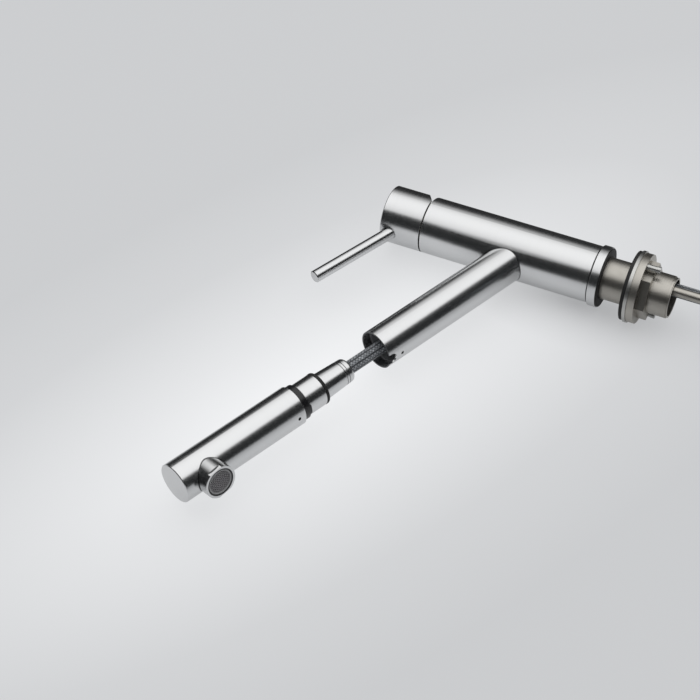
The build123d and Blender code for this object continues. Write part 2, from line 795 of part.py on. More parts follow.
with BuildPart() as ferrule:
    with BuildSketch(spout_plane.offset(ferrule_rear)):
        Circle(ferrule_rear_diameter / 2)
    with BuildSketch(spout_plane.offset(ferrule_front)):
        Circle(ferrule_front_diameter / 2)
    loft(ruled=True)
    fillet(ferrule.edges().filter_by(GeomType.CIRCLE).sort_by(spout_axis)[0], ferrule_nose)
    for number in range(ferrule_grooves):
        groove = ferrule_rear + ferrule_groove_from_end + number * ferrule_groove_spacing
        groove_radius = ferrule_rear_diameter / 2 + (ferrule_front_diameter - ferrule_rear_diameter) / 2 * (
            (groove - ferrule_rear) / ferrule_length
        )
        with BuildSketch(spout_plane.offset(groove)):
            Circle(ferrule_front_diameter)
            Circle(groove_radius - ferrule_groove_depth, mode=Mode.SUBTRACT)
        extrude(amount=ferrule_groove_width, mode=Mode.SUBTRACT)
    with BuildSketch(spout_plane.offset(ferrule_front)):
        Circle(ferrule_core_diameter / 2)
    extrude(amount=ferrule_core_length)
    with BuildSketch(spout_plane.offset(clip_station - clip_thickness / 2 - seat_gap)):
        Circle(ferrule_front_diameter / 2)
        Circle(ferrule_core_diameter / 2 - clip_groove_depth, mode=Mode.SUBTRACT)
    extrude(amount=clip_thickness + 2 * seat_gap, mode=Mode.SUBTRACT)
    with BuildSketch(spout_plane.offset(ferrule_rear)):
        Circle(ferrule_bore / 2)
    extrude(amount=ferrule_length + ferrule_core_length, mode=Mode.SUBTRACT)
    with BuildSketch(spout_plane.offset(ferrule_rear)):
        Circle(hose_radius + running_fit)
    extrude(amount=hose_socket_depth, mode=Mode.SUBTRACT)

# Waterway from the coupling to the outlet

waterway_start = collar_rear + collar_length + collar_depth + moving_gap
waterway_length = head_front - head_front_wall - waterway_end_gap - waterway_start
waist_start = waterway_start + waterway_rear_land
waist_end = nub_station - waterway_front_land
aerator_seat = head_bore_radius - moving_gap - aerator_seat_depth

with BuildPart() as waterway:
    with BuildSketch(head_plane.offset(waterway_start)):
        Circle(head_bore_radius - moving_gap)
    extrude(amount=waterway_length)
    with BuildSketch(head_plane.offset(waist_start)):
        Circle(head_radius)
        Circle(waterway_waist_diameter / 2, mode=Mode.SUBTRACT)
    extrude(amount=waist_end - waist_start, mode=Mode.SUBTRACT)
    with BuildSketch(head_plane.offset(waterway_start)):
        Circle(coupling_stub_diameter / 2 + seat_gap)
    extrude(amount=coupling_front + seat_gap - waterway_start, mode=Mode.SUBTRACT)
    with BuildSketch(head_plane.offset(waterway_start)):
        Circle(waterway_bore / 2)
    extrude(amount=nub_station + waterway_bore / 2 - waterway_start, mode=Mode.SUBTRACT)
    with BuildSketch(nub_plane):
        Circle(outlet_bore / 2)
    extrude(amount=head_diameter, mode=Mode.SUBTRACT)
    with BuildSketch(nub_plane.offset(aerator_seat)):
        Circle(nub_bore_radius + moving_gap)
    extrude(amount=head_diameter, mode=Mode.SUBTRACT)

# Aerator in the outlet, from its seal outwards

aerator_radius = nub_bore_radius - seat_gap
aerator_inner = aerator_seat + aerator_seal_thickness
aerator_face = nub_face - aerator_recess
insert_radius = aerator_radius - aerator_wall - running_fit
mesh_front = aerator_face - mesh_recess
mesh_radius = insert_radius - insert_wall - running_fit

with BuildPart() as aerator_seal:
    with BuildSketch(nub_plane.offset(aerator_seat)):
        Circle(aerator_radius)
        Circle(aerator_radius - aerator_seal_width, mode=Mode.SUBTRACT)
    extrude(amount=aerator_seal_thickness)

with BuildPart() as aerator_housing:
    with BuildSketch(nub_plane.offset(aerator_inner)):
        Circle(aerator_radius)
        Circle(aerator_radius - aerator_wall, mode=Mode.SUBTRACT)
    extrude(amount=aerator_face - aerator_inner)

with BuildPart() as aerator_insert:
    with BuildSketch(nub_plane.offset(aerator_face - insert_length)):
        Circle(insert_radius)
        Circle(insert_radius - insert_wall, mode=Mode.SUBTRACT)
    extrude(amount=insert_length - seat_gap)

with BuildPart() as aerator_mesh:
    with BuildSketch(nub_plane.offset(mesh_front - mesh_thickness)):
        Circle(mesh_radius)
        Circle(mesh_hole_diameter / 2, mode=Mode.SUBTRACT)
        for ring in range(1, mesh_rings + 1):
            with PolarLocations(ring * mesh_hole_pitch, 6 * ring):
                Circle(mesh_hole_diameter / 2, mode=Mode.SUBTRACT)
    extrude(amount=mesh_thickness)

with BuildPart() as aerator_core:
    with BuildSketch(nub_plane.offset(aerator_inner + seat_gap)):
        Circle(insert_radius)
        Circle(core_bore / 2, mode=Mode.SUBTRACT)
    extrude(amount=aerator_face - insert_length - core_gap - aerator_inner)

# Hose: straight behind the ferrule, round inside the column and down through the shank

hose_corner = (0, hose_offset, spout_height - hose_offset * tan(radians(spout_rise)))
hose_start = spout_plane.offset(hose_split)

with BuildPart() as hose_front:
    with BuildSketch(hose_start):
        Circle(hose_radius)
    extrude(amount=hose_front_length - seat_gap)

with BuildPart() as hose_inner:
    with BuildLine():
        FilletPolyline(hose_start.origin, hose_corner, (0, hose_offset, -hose_drop), radius=hose_bend_radius)
    with BuildSketch(Plane(origin=hose_start.origin, x_dir=(1, 0, 0), z_dir=-hose_start.z_dir)):
        Circle(hose_radius)
    sweep()

# The length that hangs under the deck is coiled: half turns whose ends all stand upright,
# then two equal and opposite bends back to the mixed-water tail

union_bottom = -tail_drop - union_length
return_side = 2 * coil_radius
coil_exit_y = hose_offset - coil_half_turns * coil_pitch / 2
return_span = hypot(return_side - tail_x, coil_exit_y - tail_y)
return_radius = return_span / 2 / (1 - cos(radians(coil_return_angle)))
return_rise = 2 * return_radius * sin(radians(coil_return_angle))
coil_level = union_bottom - hose_diameter - return_rise
half_points = [(return_side * (n % 2), hose_offset - n * coil_pitch / 2) for n in range(coil_half_turns + 1)]


def arc_middle(n):
    """The lowest or highest point of a half turn."""
    (x1, y1), (x2, y2) = half_points[n], half_points[n + 1]
    reach = hypot(x2 - x1, y2 - y1) / 2
    return ((x1 + x2) / 2, (y1 + y2) / 2, coil_level + (-reach if n % 2 == 0 else reach))


exit_point = (return_side, coil_exit_y, coil_level)
turn_x = (tail_x - return_side) / return_span
turn_y = (tail_y - coil_exit_y) / return_span


def on_return(along, rise):
    """A point on the upright plane through the coil's exit and the mixed-water tail."""
    return (return_side + turn_x * along, coil_exit_y + turn_y * along, coil_level + rise)


half_angle = radians(coil_return_angle / 2)
return_middle = on_return(return_span / 2, return_rise / 2)
first_bend = on_return(return_radius * (1 - cos(half_angle)), return_radius * sin(half_angle))
last_bend = on_return(return_span - return_radius * (1 - cos(half_angle)), return_rise - return_radius * sin(half_angle))
coil_end = (tail_x, tail_y, union_bottom)

with BuildPart() as hose_coil:
    with BuildLine() as coil_route:
        Line((0, hose_offset, -hose_drop), (0, hose_offset, coil_level))
        for n in range(coil_half_turns):
            ThreePointArc((*half_points[n], coil_level), arc_middle(n), (*half_points[n + 1], coil_level))
        ThreePointArc(exit_point, first_bend, return_middle)
        ThreePointArc(return_middle, last_bend, on_return(return_span, return_rise))
        Line(on_return(return_span, return_rise), coil_end)
    with BuildSketch(Plane(origin=(0, hose_offset, -hose_drop), x_dir=(1, 0, 0), z_dir=(0, 0, -1))):
        Circle(hose_radius)
    sweep()

tie_y = [(half_points[n][1] + half_points[n + 1][1]) / 2 for n in (0, 2)]
tie_level = coil_level - hypot(coil_radius, coil_pitch / 4)

with BuildPart() as hose_tie:
    with BuildSketch(Plane(origin=(coil_radius - tie_width / 2, sum(tie_y) / 2, tie_level), x_dir=(0, 1, 0), z_dir=(1, 0, 0))):
        SlotCenterToCenter(tie_y[0] - tie_y[1], hose_diameter + 2 * seat_gap + 2 * tie_thickness + 2 * moving_gap)
        SlotCenterToCenter(tie_y[0] - tie_y[1], hose_diameter + 2 * seat_gap + 2 * moving_gap, mode=Mode.SUBTRACT)
    extrude(amount=tie_width)

# Mixed-water tail, from the valve body down to the union on the hose's end

with BuildPart() as mixed_tail:
    with BuildSketch(Plane.XY.offset(valve_bottom)):
        with Locations((tail_x, tail_y)):
            Circle(port_thread_diameter / 2 - seat_gap)
            Circle(port_diameter / 2, mode=Mode.SUBTRACT)
    extrude(amount=port_thread_depth - seat_gap)
    with BuildSketch(Plane.XY.offset(-tail_drop)):
        with Locations((tail_x, tail_y)):
            Circle(tail_diameter / 2)
            Circle(port_diameter / 2, mode=Mode.SUBTRACT)
    extrude(amount=tail_drop + valve_bottom)

with BuildPart() as union_nut:
    with BuildSketch(Plane.XY.offset(union_bottom)):
        with Locations((tail_x, tail_y)):
            RegularPolygon(union_width / 2, 6, major_radius=False)
    extrude(amount=union_length)
    chamfer(union_nut.edges().group_by(Axis.Z)[0], union_edge)
    chamfer(union_nut.edges().group_by(Axis.Z)[-1], union_edge)

pieces = {
    "base_seal": base_seal,
    "base_ring": base_ring,
    "foot_washer": foot_washer,
    "slide_rings": slide_rings,
    "threaded_shank": threaded_shank,
    "rubber_washer": rubber_washer,
    "clamp_washer": clamp_washer,
    "mounting_nut": mounting_nut,
    "jack_screws": jack_screws,
    "column": column,
    "stop_screw": stop_screw,
    "docking_bush": docking_bush,
    "spout_grub_screw": spout_grub_screw,
    "valve_body": valve_body,
    "cartridge_seal": cartridge_seal,
    "cartridge_base": cartridge_base,
    "fixed_disc": fixed_disc,
    "cartridge_housing": cartridge_housing,
    "cartridge_nut": cartridge_nut,
    "moving_disc": moving_disc,
    "turret": turret,
    "pivot_pin": pivot_pin,
    "spindle": spindle,
    "control_cap": control_cap,
    "lever": lever,
    "head_shell": head_shell,
    "collar": collar,
    "head_grub_screw": head_grub_screw,
    "coupling": coupling,
    "coupling_o_ring": coupling_o_ring,
    "coupling_clip": coupling_clip,
    "ferrule": ferrule,
    "waterway": waterway,
    "aerator_seal": aerator_seal,
    "aerator_housing": aerator_housing,
    "aerator_insert": aerator_insert,
    "aerator_mesh": aerator_mesh,
    "aerator_core": aerator_core,
    "hose_front": hose_front,
    "hose_inner": hose_inner,
    "hose_coil": hose_coil,
    "hose_tie": hose_tie,
    "mixed_tail": mixed_tail,
    "union_nut": union_nut,
}

os.makedirs("parts", exist_ok=True)
for label, piece in pieces.items():
    piece.part.label = label
    export_step(piece.part, f"parts/{label}.step")

# What the hose measures

route = coil_route.wire()
samples = [route.position_at(i / coil_samples) for i in range(coil_samples + 1)]
apart = ceil(turn_clear * hose_diameter / route.length * coil_samples)
least = min((b - a).length for i, a in enumerate(samples) for b in samples[i + apart:])
print("hose bend radius", hose_bend_radius, "return bend radius", round(return_radius, 1))
print("coil length", round(route.length, 1), "least gap of the coil to itself", round(least - hose_diameter, 2))
print("coil volume", round(hose_coil.part.volume), "section times length", round(pi * hose_radius**2 * route.length))
print("hose length", round(route.length + hose_inner.part.volume / pi / hose_radius**2 + hose_front_length, 1))
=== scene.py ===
# %% [markdown]
# A single-lever kitchen faucet with a pull-out spray head, lying on a pale table.
#
# The measured model comes in first and is never moved: this script dresses it with finishes, adds the
# details that are made in mesh code, and lights it. Lengths are in metres. +Z runs up the column and the
# spout points to -Y, so the table that the faucet lies on is an upright plane on its -X side.

from functools import partial
from math import cos, hypot, pi, radians, sin, sqrt, tan

import bmesh
import bpy
from mathutils import Matrix, Vector


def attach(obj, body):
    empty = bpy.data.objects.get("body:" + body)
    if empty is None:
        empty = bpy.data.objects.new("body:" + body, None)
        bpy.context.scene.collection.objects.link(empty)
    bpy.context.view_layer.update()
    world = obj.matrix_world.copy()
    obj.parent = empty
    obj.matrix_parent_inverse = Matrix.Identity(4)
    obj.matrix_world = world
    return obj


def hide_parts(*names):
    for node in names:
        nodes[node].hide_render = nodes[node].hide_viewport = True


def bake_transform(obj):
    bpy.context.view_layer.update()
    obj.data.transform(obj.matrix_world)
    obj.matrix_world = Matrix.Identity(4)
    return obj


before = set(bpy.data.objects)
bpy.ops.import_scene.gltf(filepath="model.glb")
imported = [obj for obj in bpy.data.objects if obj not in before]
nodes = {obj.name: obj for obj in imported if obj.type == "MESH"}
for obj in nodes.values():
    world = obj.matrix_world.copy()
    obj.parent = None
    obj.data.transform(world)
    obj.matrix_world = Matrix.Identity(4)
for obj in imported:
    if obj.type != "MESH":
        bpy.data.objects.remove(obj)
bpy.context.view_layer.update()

# %% [markdown]
# The lines that most of the faucet is turned about. The column stands on Z. The spout, its hose and the
# spray head share one line that leaves the column 70.4 mm up and rises 23.2 degrees. The lever has its own.
# The head is twisted a little about the spout's line, so its outlet points slightly to one side. Places along
# the spout are given as stations, which are millimetres from the column's middle.

# %% Axes
MM = 0.001
SPOUT_HEIGHT = 70.4
SPOUT_RISE = radians(23.2)
LEVER_HEIGHT = 165.5
LEVER_RISE = radians(25.4)
HEAD_TWIST = radians(9.4)
OUTLET = 328.2
RIGHT = Vector((1, 0, 0))


def rising(angle):
    """The direction that points forwards and up by an angle."""
    return Vector((0, -cos(angle), sin(angle)))


SPOUT_START = Vector((0, 0, SPOUT_HEIGHT)) * MM
SPOUT_LINE = rising(SPOUT_RISE)
LEVER_START = Vector((0, 0, LEVER_HEIGHT)) * MM
LEVER_LINE = rising(LEVER_RISE)
UNDER = -(Matrix.Rotation(HEAD_TWIST, 3, SPOUT_LINE) @ SPOUT_LINE.cross(RIGHT))


def on_spout(station):
    """The point of the spout's line at a station."""
    return SPOUT_START + SPOUT_LINE * station * MM


def placed(point, x, y, z):
    """The matrix that puts a thing at a point and turns its own axes to three directions."""
    return Matrix.Translation(point) @ Matrix((x, y, z)).transposed().to_4x4()


print("underside of the head:", [round(c, 3) for c in UNDER])

# %% [markdown]
# The camera was worked out from the edges of the tubes in the photograph: where it stood, how it was
# turned, and how long its lens was. Its three directions are the columns of its matrix.

# %% Camera
CAMERA_PLACE = Vector((1077.79531, -1073.07470, -298.14264)) * MM
CAMERA_RIGHT = Vector((-0.016542, 0.42225391, -0.90632665))
CAMERA_DOWN = Vector((-0.68854637, -0.66208072, -0.29589358))
CAMERA_VIEW = Vector((-0.72500362, 0.61915326, 0.30169354))
LENS_IN_PIXELS = 1960.1667
PICTURE = 700
SENSOR = 36.0
NEAREST, FARTHEST = 0.05, 50

camera_data = bpy.data.cameras.new("camera")
camera_data.sensor_width = SENSOR
camera_data.lens = LENS_IN_PIXELS / PICTURE * SENSOR
camera_data.clip_start = NEAREST
camera_data.clip_end = FARTHEST
camera = bpy.data.objects.new("camera", camera_data)
camera.matrix_world = placed(CAMERA_PLACE, CAMERA_RIGHT, -CAMERA_DOWN, -CAMERA_VIEW)
bpy.context.scene.collection.objects.link(camera)
bpy.context.scene.camera = camera
print("lens:", round(camera_data.lens, 2), "mm")

# %% [markdown]
# Materials are small trees of nodes. These helpers put a node in a tree, set its sockets by name and join
# it to others, so that each finish below reads as a short list of what it is made of. A node whose sockets
# share a name has them by number, so i0 is its first input.

# %% Node helpers


def put(tree, kind, settings=None, **sockets):
    """A new node in a tree. A socket takes a value, another node's output or a list of outputs."""
    node = tree.nodes.new(kind)
    for key, value in (settings or {}).items():
        setattr(node, key, value)
    for key, value in sockets.items():
        numbered = key[0] == "i" and key[1:].isdigit()
        socket = node.inputs[int(key[1:]) if numbered else key.replace("_", " ")]
        for each in value if isinstance(value, list) else [value]:
            if isinstance(each, bpy.types.NodeSocket):
                tree.links.new(each, socket)
            else:
                socket.default_value = each
    return node


def new_tree(name):
    """An empty material and a function that adds nodes to it."""
    material = bpy.data.materials.new(name)
    material.use_nodes = True
    material.node_tree.nodes.clear()
    return material, partial(put, material.node_tree)


def surface(add, shader):
    """Ends a tree."""
    add("ShaderNodeOutputMaterial", Surface=shader)


def dress(material, *names):
    """Gives a finish to nodes of the frame."""
    for name in names:
        for slot in nodes[name].material_slots:
            slot.material = material
        if not nodes[name].material_slots:
            nodes[name].data.materials.append(material)


# %% [markdown]
# Arithmetic in a tree takes one node for each step. With a word for each kind of step, a formula can be
# written on one line.

# %% Arithmetic helpers


def maths(add, operation, a, b=0.0):
    """One step of arithmetic."""
    return add("ShaderNodeMath", {"operation": operation}, i0=a, i1=b).outputs["Value"]


def plus(add, total, *others):
    """A sum."""
    for other in others:
        total = maths(add, "ADD", total, other)
    return total


def minus(add, a, b):
    """A difference."""
    return maths(add, "SUBTRACT", a, b)


def times(add, a, b):
    """A product."""
    return maths(add, "MULTIPLY", a, b)


def swing(add, value, low, high):
    """low where the value is 0, high where it is 1."""
    return plus(add, low, times(add, value, high - low))


def vectors(add, operation, a, b=(0, 0, 0), output="Vector"):
    """One step of arithmetic with places or directions."""
    return add("ShaderNodeVectorMath", {"operation": operation}, i0=a, i1=b).outputs[output]


def scaled(add, vector, share):
    """A direction made longer or shorter."""
    return add("ShaderNodeVectorMath", {"operation": "SCALE"}, i0=vector, Scale=share).outputs["Vector"]


def xyz(add, **parts):
    """A place from its X, Y and Z, which are 0 where they aren't given."""
    return add("ShaderNodeCombineXYZ", **parts).outputs["Vector"]


def mixed(add, kind, share, a, b, blend="MIX"):
    """a where the share is 0 and b where it is 1. Both are of one kind: FLOAT, VECTOR or RGBA."""
    row = ("FLOAT", "VECTOR", "RGBA").index(kind)
    ends = {f"i{2 * row + 2}": a, f"i{2 * row + 3}": b}
    return add("ShaderNodeMix", {"data_type": kind, "blend_type": blend}, i0=share, **ends).outputs[row]


def mixed_shaders(add, share, a, b):
    """Shader a where the share is 0 and shader b where it is 1."""
    return add("ShaderNodeMixShader", Fac=share, i1=a, i2=b).outputs["Shader"]


# %% [markdown]
# Four things turn up in most finishes: the place on the piece, which moves with the piece, a random noise, a
# colour ramp, and painted shade that makes corners darker than open faces. Ambient Occlusion finds those
# corners.

# %% Finish helpers


def on_piece(add):
    """The place on the piece, in the piece's own coordinates."""
    return add("ShaderNodeTexCoord").outputs["Object"]


def noise(add, place, scale, detail, **more):
    """Random patches, so many to a metre."""
    return add("ShaderNodeTexNoise", Vector=place, Scale=scale, Detail=detail, **more).outputs["Fac"]


def ramp(add, value, *stops):
    """A colour ramp through (position, grey or colour) stops."""
    node = add("ShaderNodeValToRGB", Fac=value)
    elements = node.color_ramp.elements
    while len(elements) < len(stops):
        elements.new(0.5)
    for element, (position, colour) in zip(elements, stops):
        element.position = position
        element.color = (*colour, 1) if hasattr(colour, "__len__") else (colour, colour, colour, 1)
    return node.outputs["Color"]


def painted_corner_shade(add, colour, reach, shut, open_air):
    """A colour with painted shade where walls stand closer than the reach. The last two are the ramp's stops.
    """
    free = add("ShaderNodeAmbientOcclusion", {"samples": 8}, Distance=reach).outputs["AO"]
    return mixed(add, "RGBA", 1.0, colour, ramp(add, free, shut, open_air), blend="MULTIPLY")


# %% [markdown]
# The pull-out hose. It is a rubber tube under a tight nylon braid, grey with darker marker yarns along it.
# One function makes all three lengths: rings of points are carried along a route without twisting, and small
# bumps rise where two strands cross. The map on it counts strands, U round the hose and V along it, so the
# braid's colour follows the bumps. The camera and the hose come before all other pieces.

# %% Hose tube
HOSE_RADIUS = 5.4 * MM
STRANDS = 12
LAY = 2.8 * MM
BUMP = 0.25 * MM
AROUND = 48


def new_piece(name, mesh, material):
    """A finished mesh as an object whose place is in its mesh."""
    mesh.name = name
    mesh.materials.clear()
    mesh.materials.append(material)
    piece = bpy.data.objects.new(name, mesh)
    bpy.context.scene.collection.objects.link(piece)
    return piece


def spaced(points, step):
    """The same line with its points that far apart."""
    out, carried = [points[0].copy()], 0.0
    for a, b in zip(points, points[1:]):
        run = (b - a).length
        at = step - carried
        while at <= run:
            out.append(a.lerp(b, at / run))
            at += step
        carried = run - (at - step)
    if (out[-1] - points[-1]).length > step / 3:
        out.append(points[-1].copy())
    return out


def hose_tube(name, route, material, around=AROUND, lengthen=None):
    """A braided tube on a route. lengthen gives the length along the hose at a distance along the route."""
    mesh = bmesh.new()
    strands = mesh.loops.layers.uv.new("strands")
    rings, lengths = [], []
    forward = (route[1] - route[0]).normalized()
    sideways = forward.orthogonal().normalized()
    travelled = 0.0
    for i, point in enumerate(route):
        onward = (route[min(i + 1, len(route) - 1)] - route[max(i - 1, 0)]).normalized()
        sideways = (sideways - onward * sideways.dot(onward)).normalized()
        other = onward.cross(sideways)
        travelled += (point - route[i - 1]).length if i else 0.0
        length = lengthen(travelled) if lengthen else travelled
        ring = []
        for k in range(around):
            turn = 2 * pi * k / around
            bump = 0.5 - 0.25 * (cos(2 * STRANDS * turn) + cos(4 * pi * length / LAY))
            out = sideways * cos(turn) + other * sin(turn)
            ring.append(mesh.verts.new(point + out * (HOSE_RADIUS - BUMP * bump)))
        rings.append(ring)
        lengths.append(length / LAY)
    for i in range(len(rings) - 1):
        for k in range(around):
            after = (k + 1) % around
            face = mesh.faces.new((rings[i][k], rings[i][after], rings[i + 1][after], rings[i + 1][k]))
            face.smooth = True
            for loop, u, v in zip(face.loops, (k, k + 1, k + 1, k), (i, i, i + 1, i + 1)):
                loop[strands].uv = (u * STRANDS / around, lengths[v])
    mesh.faces.new(rings[0][::-1])
    mesh.faces.new(rings[-1])
    data = bpy.data.meshes.new(name)
    mesh.to_mesh(data)
    mesh.free()
    return new_piece(name, data, material)


# %% [markdown]
# The braid's weave. Two families of strands wind round the hose in opposite ways: U plus V is constant along
# one and U minus V along the other. A chequer of their crossings says which is on top, and that one's own
# round section gives its height. The colour follows the height: painted shade darkens the strands' round
# sides and the gaps, where the dark rubber also shows. Each strand and each crossing has its own grey, and
# darker marker yarns run along the hose, one for every one and a half strands round it.

# %% Braid
THREADS = 31.0
MARKER_EVERY, MARKER_WIDTH, MARKER_SHIFT = 1.5, 0.42, 0.25
MARKER_TONE = 0.28
BRAID_COLOURS = (0.0, (0.012, 0.013, 0.016)), (0.35, (0.115, 0.127, 0.142)), (1.0, (0.62, 0.65, 0.68))


def braided_nylon(name):
    """The colour and the fine relief of a nylon braid, from its map of strands."""
    material, add = new_tree(name)
    strands = add("ShaderNodeUVMap", {"uv_map": "strands"}).outputs["UV"]
    uv = add("ShaderNodeSeparateXYZ", Vector=strands).outputs
    one, two = plus(add, uv["X"], uv["Y"]), minus(add, uv["X"], uv["Y"])
    row_one, row_two = maths(add, "FLOOR", one), maths(add, "FLOOR", two)
    in_one, in_two = maths(add, "FRACT", one), maths(add, "FRACT", two)
    over = maths(add, "FLOORED_MODULO", plus(add, row_one, row_two), 2.0)

    def pick(a, b):
        """a where the first family is on top, b where the second is."""
        return mixed(add, "FLOAT", over, a, b)

    def hump(value):
        """0 at both edges of a strand and 1 in its middle."""
        return times(add, times(add, value, minus(add, 1.0, value)), 4.0)

    across, along = pick(in_one, in_two), pick(in_two, in_one)
    height = times(add, maths(add, "POWER", hump(across), 0.6), swing(add, hump(along), 0.55, 1.0))
    threads = swing(add, maths(add, "SINE", times(add, across, THREADS)), 0.5, 1.0)
    strand = add("ShaderNodeTexWhiteNoise", {"noise_dimensions": "1D"}, W=pick(row_one, row_two))
    crossing = add("ShaderNodeTexWhiteNoise", {"noise_dimensions": "2D"},
                   Vector=xyz(add, X=row_one, Y=row_two))
    in_group = maths(add, "FLOORED_MODULO", plus(add, uv["X"], MARKER_SHIFT), MARKER_EVERY)
    marker = maths(add, "LESS_THAN", in_group, MARKER_WIDTH)
    tone = swing(add, strand.outputs["Value"], 0.62, 0.84)
    tone = plus(add, tone, times(add, crossing.outputs["Value"], 0.30))
    tone = times(add, tone, swing(add, marker, 1.0, MARKER_TONE))
    tone = times(add, tone, swing(add, threads, 0.85, 1.0))
    # Painted shade: the colour darkens where the weave is low, on the strands' sides and in the gaps.
    colour = ramp(add, times(add, height, tone), *BRAID_COLOURS)
    relief = plus(add, height, times(add, threads, 0.12))
    bump = add("ShaderNodeBump", Strength=0.7, Distance=0.3 * MM, Height=relief).outputs["Normal"]
    shader = add("ShaderNodeBsdfPrincipled", Base_Color=colour, Roughness=0.45, Sheen_Weight=0.25,
                 Normal=bump)
    surface(add, shader.outputs["BSDF"])
    return material


braid = braided_nylon("braided_nylon")
print("braid:", len(braid.node_tree.nodes), "nodes")

# %% [markdown]
# The length that hangs under the deck is a free cord: it leaves through the shank, is wound into one and a
# half turns that a tie holds, and comes back up into the union nut on the mixed-water tail. Its centre line
# is a NURBS spline whose control points are the points of its route: straight down, twelve to each half
# turn, then the two corners of the bend back. The tube follows what that spline gives with no bevel.

# %% Coiled length
HOSE_OFFSET = 8.9
HOSE_DROP = 97.0
COIL_RADIUS = 63.0
COIL_PITCH = 13.5
HALF_TURNS = 3
STEPS = 12
LEAD_IN = 12
BACK_TURN = radians(75)
UNION_BOTTOM = -112.0
UNION_STRAIGHT = 10.8
TAIL_RADIUS = 9.8
TAIL_TURN = radians(-11)
TAIL = (TAIL_RADIUS * cos(TAIL_TURN), TAIL_RADIUS * sin(TAIL_TURN))
COIL_SPACING = 0.7 * MM

coil_far_y = HOSE_OFFSET - HALF_TURNS * COIL_PITCH / 2
back_span = hypot(2 * COIL_RADIUS - TAIL[0], coil_far_y - TAIL[1])
back_radius = back_span / 2 / (1 - cos(BACK_TURN))
back_corner = back_radius * tan(BACK_TURN / 2)
back_end = UNION_BOTTOM - UNION_STRAIGHT
coil_level = back_end - 2 * back_radius * sin(BACK_TURN)
levels = (-HOSE_DROP, (coil_level - HOSE_DROP) / 2, coil_level + LEAD_IN)
coil_points = [(0, HOSE_OFFSET, level) for level in levels]
for step in range(STEPS * HALF_TURNS + 1):
    turn = pi * step / STEPS
    coil_y = HOSE_OFFSET - COIL_PITCH / 2 * step / STEPS
    coil_points.append((COIL_RADIUS * (1 - cos(turn)), coil_y, coil_level - COIL_RADIUS * sin(turn)))
coil_points += [
    (2 * COIL_RADIUS, coil_far_y, coil_level + back_corner),
    (*TAIL, back_end - back_corner),
    (*TAIL, back_end),
    (*TAIL, UNION_BOTTOM),
]

line_data = bpy.data.curves.new("coil_line", "CURVE")
line_data.dimensions = "3D"
line_data.resolution_u = 16
spline = line_data.splines.new("NURBS")
spline.points.add(len(coil_points) - 1)
for control, place in zip(spline.points, coil_points):
    control.co = (*(c * MM for c in place), 1)
spline.order_u = 3
spline.use_endpoint_u = True
line = bpy.data.objects.new("coil_line", line_data)
bpy.context.scene.collection.objects.link(line)
line_mesh = bpy.data.meshes.new_from_object(line.evaluated_get(bpy.context.evaluated_depsgraph_get()))
coil_route = spaced([v.co.copy() for v in line_mesh.vertices], COIL_SPACING)
bpy.data.objects.remove(line)
coil = hose_tube("coiled_hose", coil_route, braid)
coil_length = sum((b - a).length for a, b in zip(coil_route, coil_route[1:]))
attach(coil, "column")
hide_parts("hose_coil")
print("coiled hose:", round(coil_length, 4), "m,", len(coil.data.polygons), "faces")

# %% [markdown]
# The front length slides with the head. It is the one that is seen closely, so it is finer than the others.

# %% Front length of the hose
HOSE_SPLIT = 128.6
HOSE_FRONT = 200.0
FRONT_SPACING = 0.35 * MM

front_route = spaced([on_spout(HOSE_SPLIT), on_spout(HOSE_FRONT)], FRONT_SPACING)
front = hose_tube("front_hose", front_route, braid, around=2 * AROUND)
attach(front, "hose")
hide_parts("hose_front")
print("front hose:", len(front.data.polygons), "faces")

# %% [markdown]
# The length inside the spout bends down into the column. Its map is measured as at full pull, when 317 mm of
# hose has been fed out of the spout from the part beyond station 30, so the braid looks right there.

# %% Hose in the spout
FEED_START = 30.0
FULL_PULL = 317.2
BEND_RADIUS = 60.0
BEND_STEPS = 60
RUN_STEPS = 500
DROP_LEVELS = (0, -20, -40, -60, -80, -HOSE_DROP)
FEED_LENGTH = (HOSE_SPLIT - FEED_START) * MM

bend_corner = Vector((0, HOSE_OFFSET, SPOUT_HEIGHT - HOSE_OFFSET * tan(SPOUT_RISE))) * MM
bend_turn = pi / 2 - SPOUT_RISE
corner_to_centre = (SPOUT_LINE - Vector((0, 0, 1))).normalized()
bend_centre = bend_corner + corner_to_centre * (BEND_RADIUS / cos(bend_turn / 2) * MM)
bend_start = on_spout(FEED_START) - bend_centre
run = [on_spout(HOSE_SPLIT - (HOSE_SPLIT - FEED_START) * i / RUN_STEPS) for i in range(RUN_STEPS)]
turns = [Matrix.Rotation(-bend_turn * i / BEND_STEPS, 3, RIGHT) for i in range(BEND_STEPS + 1)]
arc = [bend_centre + turn @ bend_start for turn in turns]
drop = [Vector((0, HOSE_OFFSET * MM, level * MM)) for level in DROP_LEVELS]
print("hose bend ends at", [round(c / MM, 2) for c in arc[-1]])


def fed(distance):
    """The length of hose at a distance along the route, when the head is pulled out all the way."""
    left = 1 - min(distance / FEED_LENGTH, 1.0)
    return distance + FULL_PULL * MM * (1 - left * left * (3 - 2 * left))


inner = hose_tube("inner_hose", run + arc + drop, braid, lengthen=fed)
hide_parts("hose_inner")
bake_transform(inner)
print("hose in the spout:", len(inner.data.polygons), "faces")

# %% [markdown]
# Where two steel tubes join. The column and its spout are one piece with two lines, and so are the head and
# its outlet. The second tube is called a branch. What is further from the first line than the first tube's
# skin, and on the branch's side, is on the branch. The two skins cross where both are near, and a fine dark
# seam runs there.

# %% Steel tubes that join
SKIN = 0.05 * MM
SEAM = 0.30 * MM


def away_from(add, offset, line):
    """How far a place is from a line. The offset leads from a point of the line to the place."""
    return vectors(add, "LENGTH", vectors(add, "CROSS_PRODUCT", offset, line), output="Value")


def off_skin(add, away, radius):
    """How far a place is from a tube's skin."""
    return maths(add, "ABSOLUTE", minus(add, away, radius))


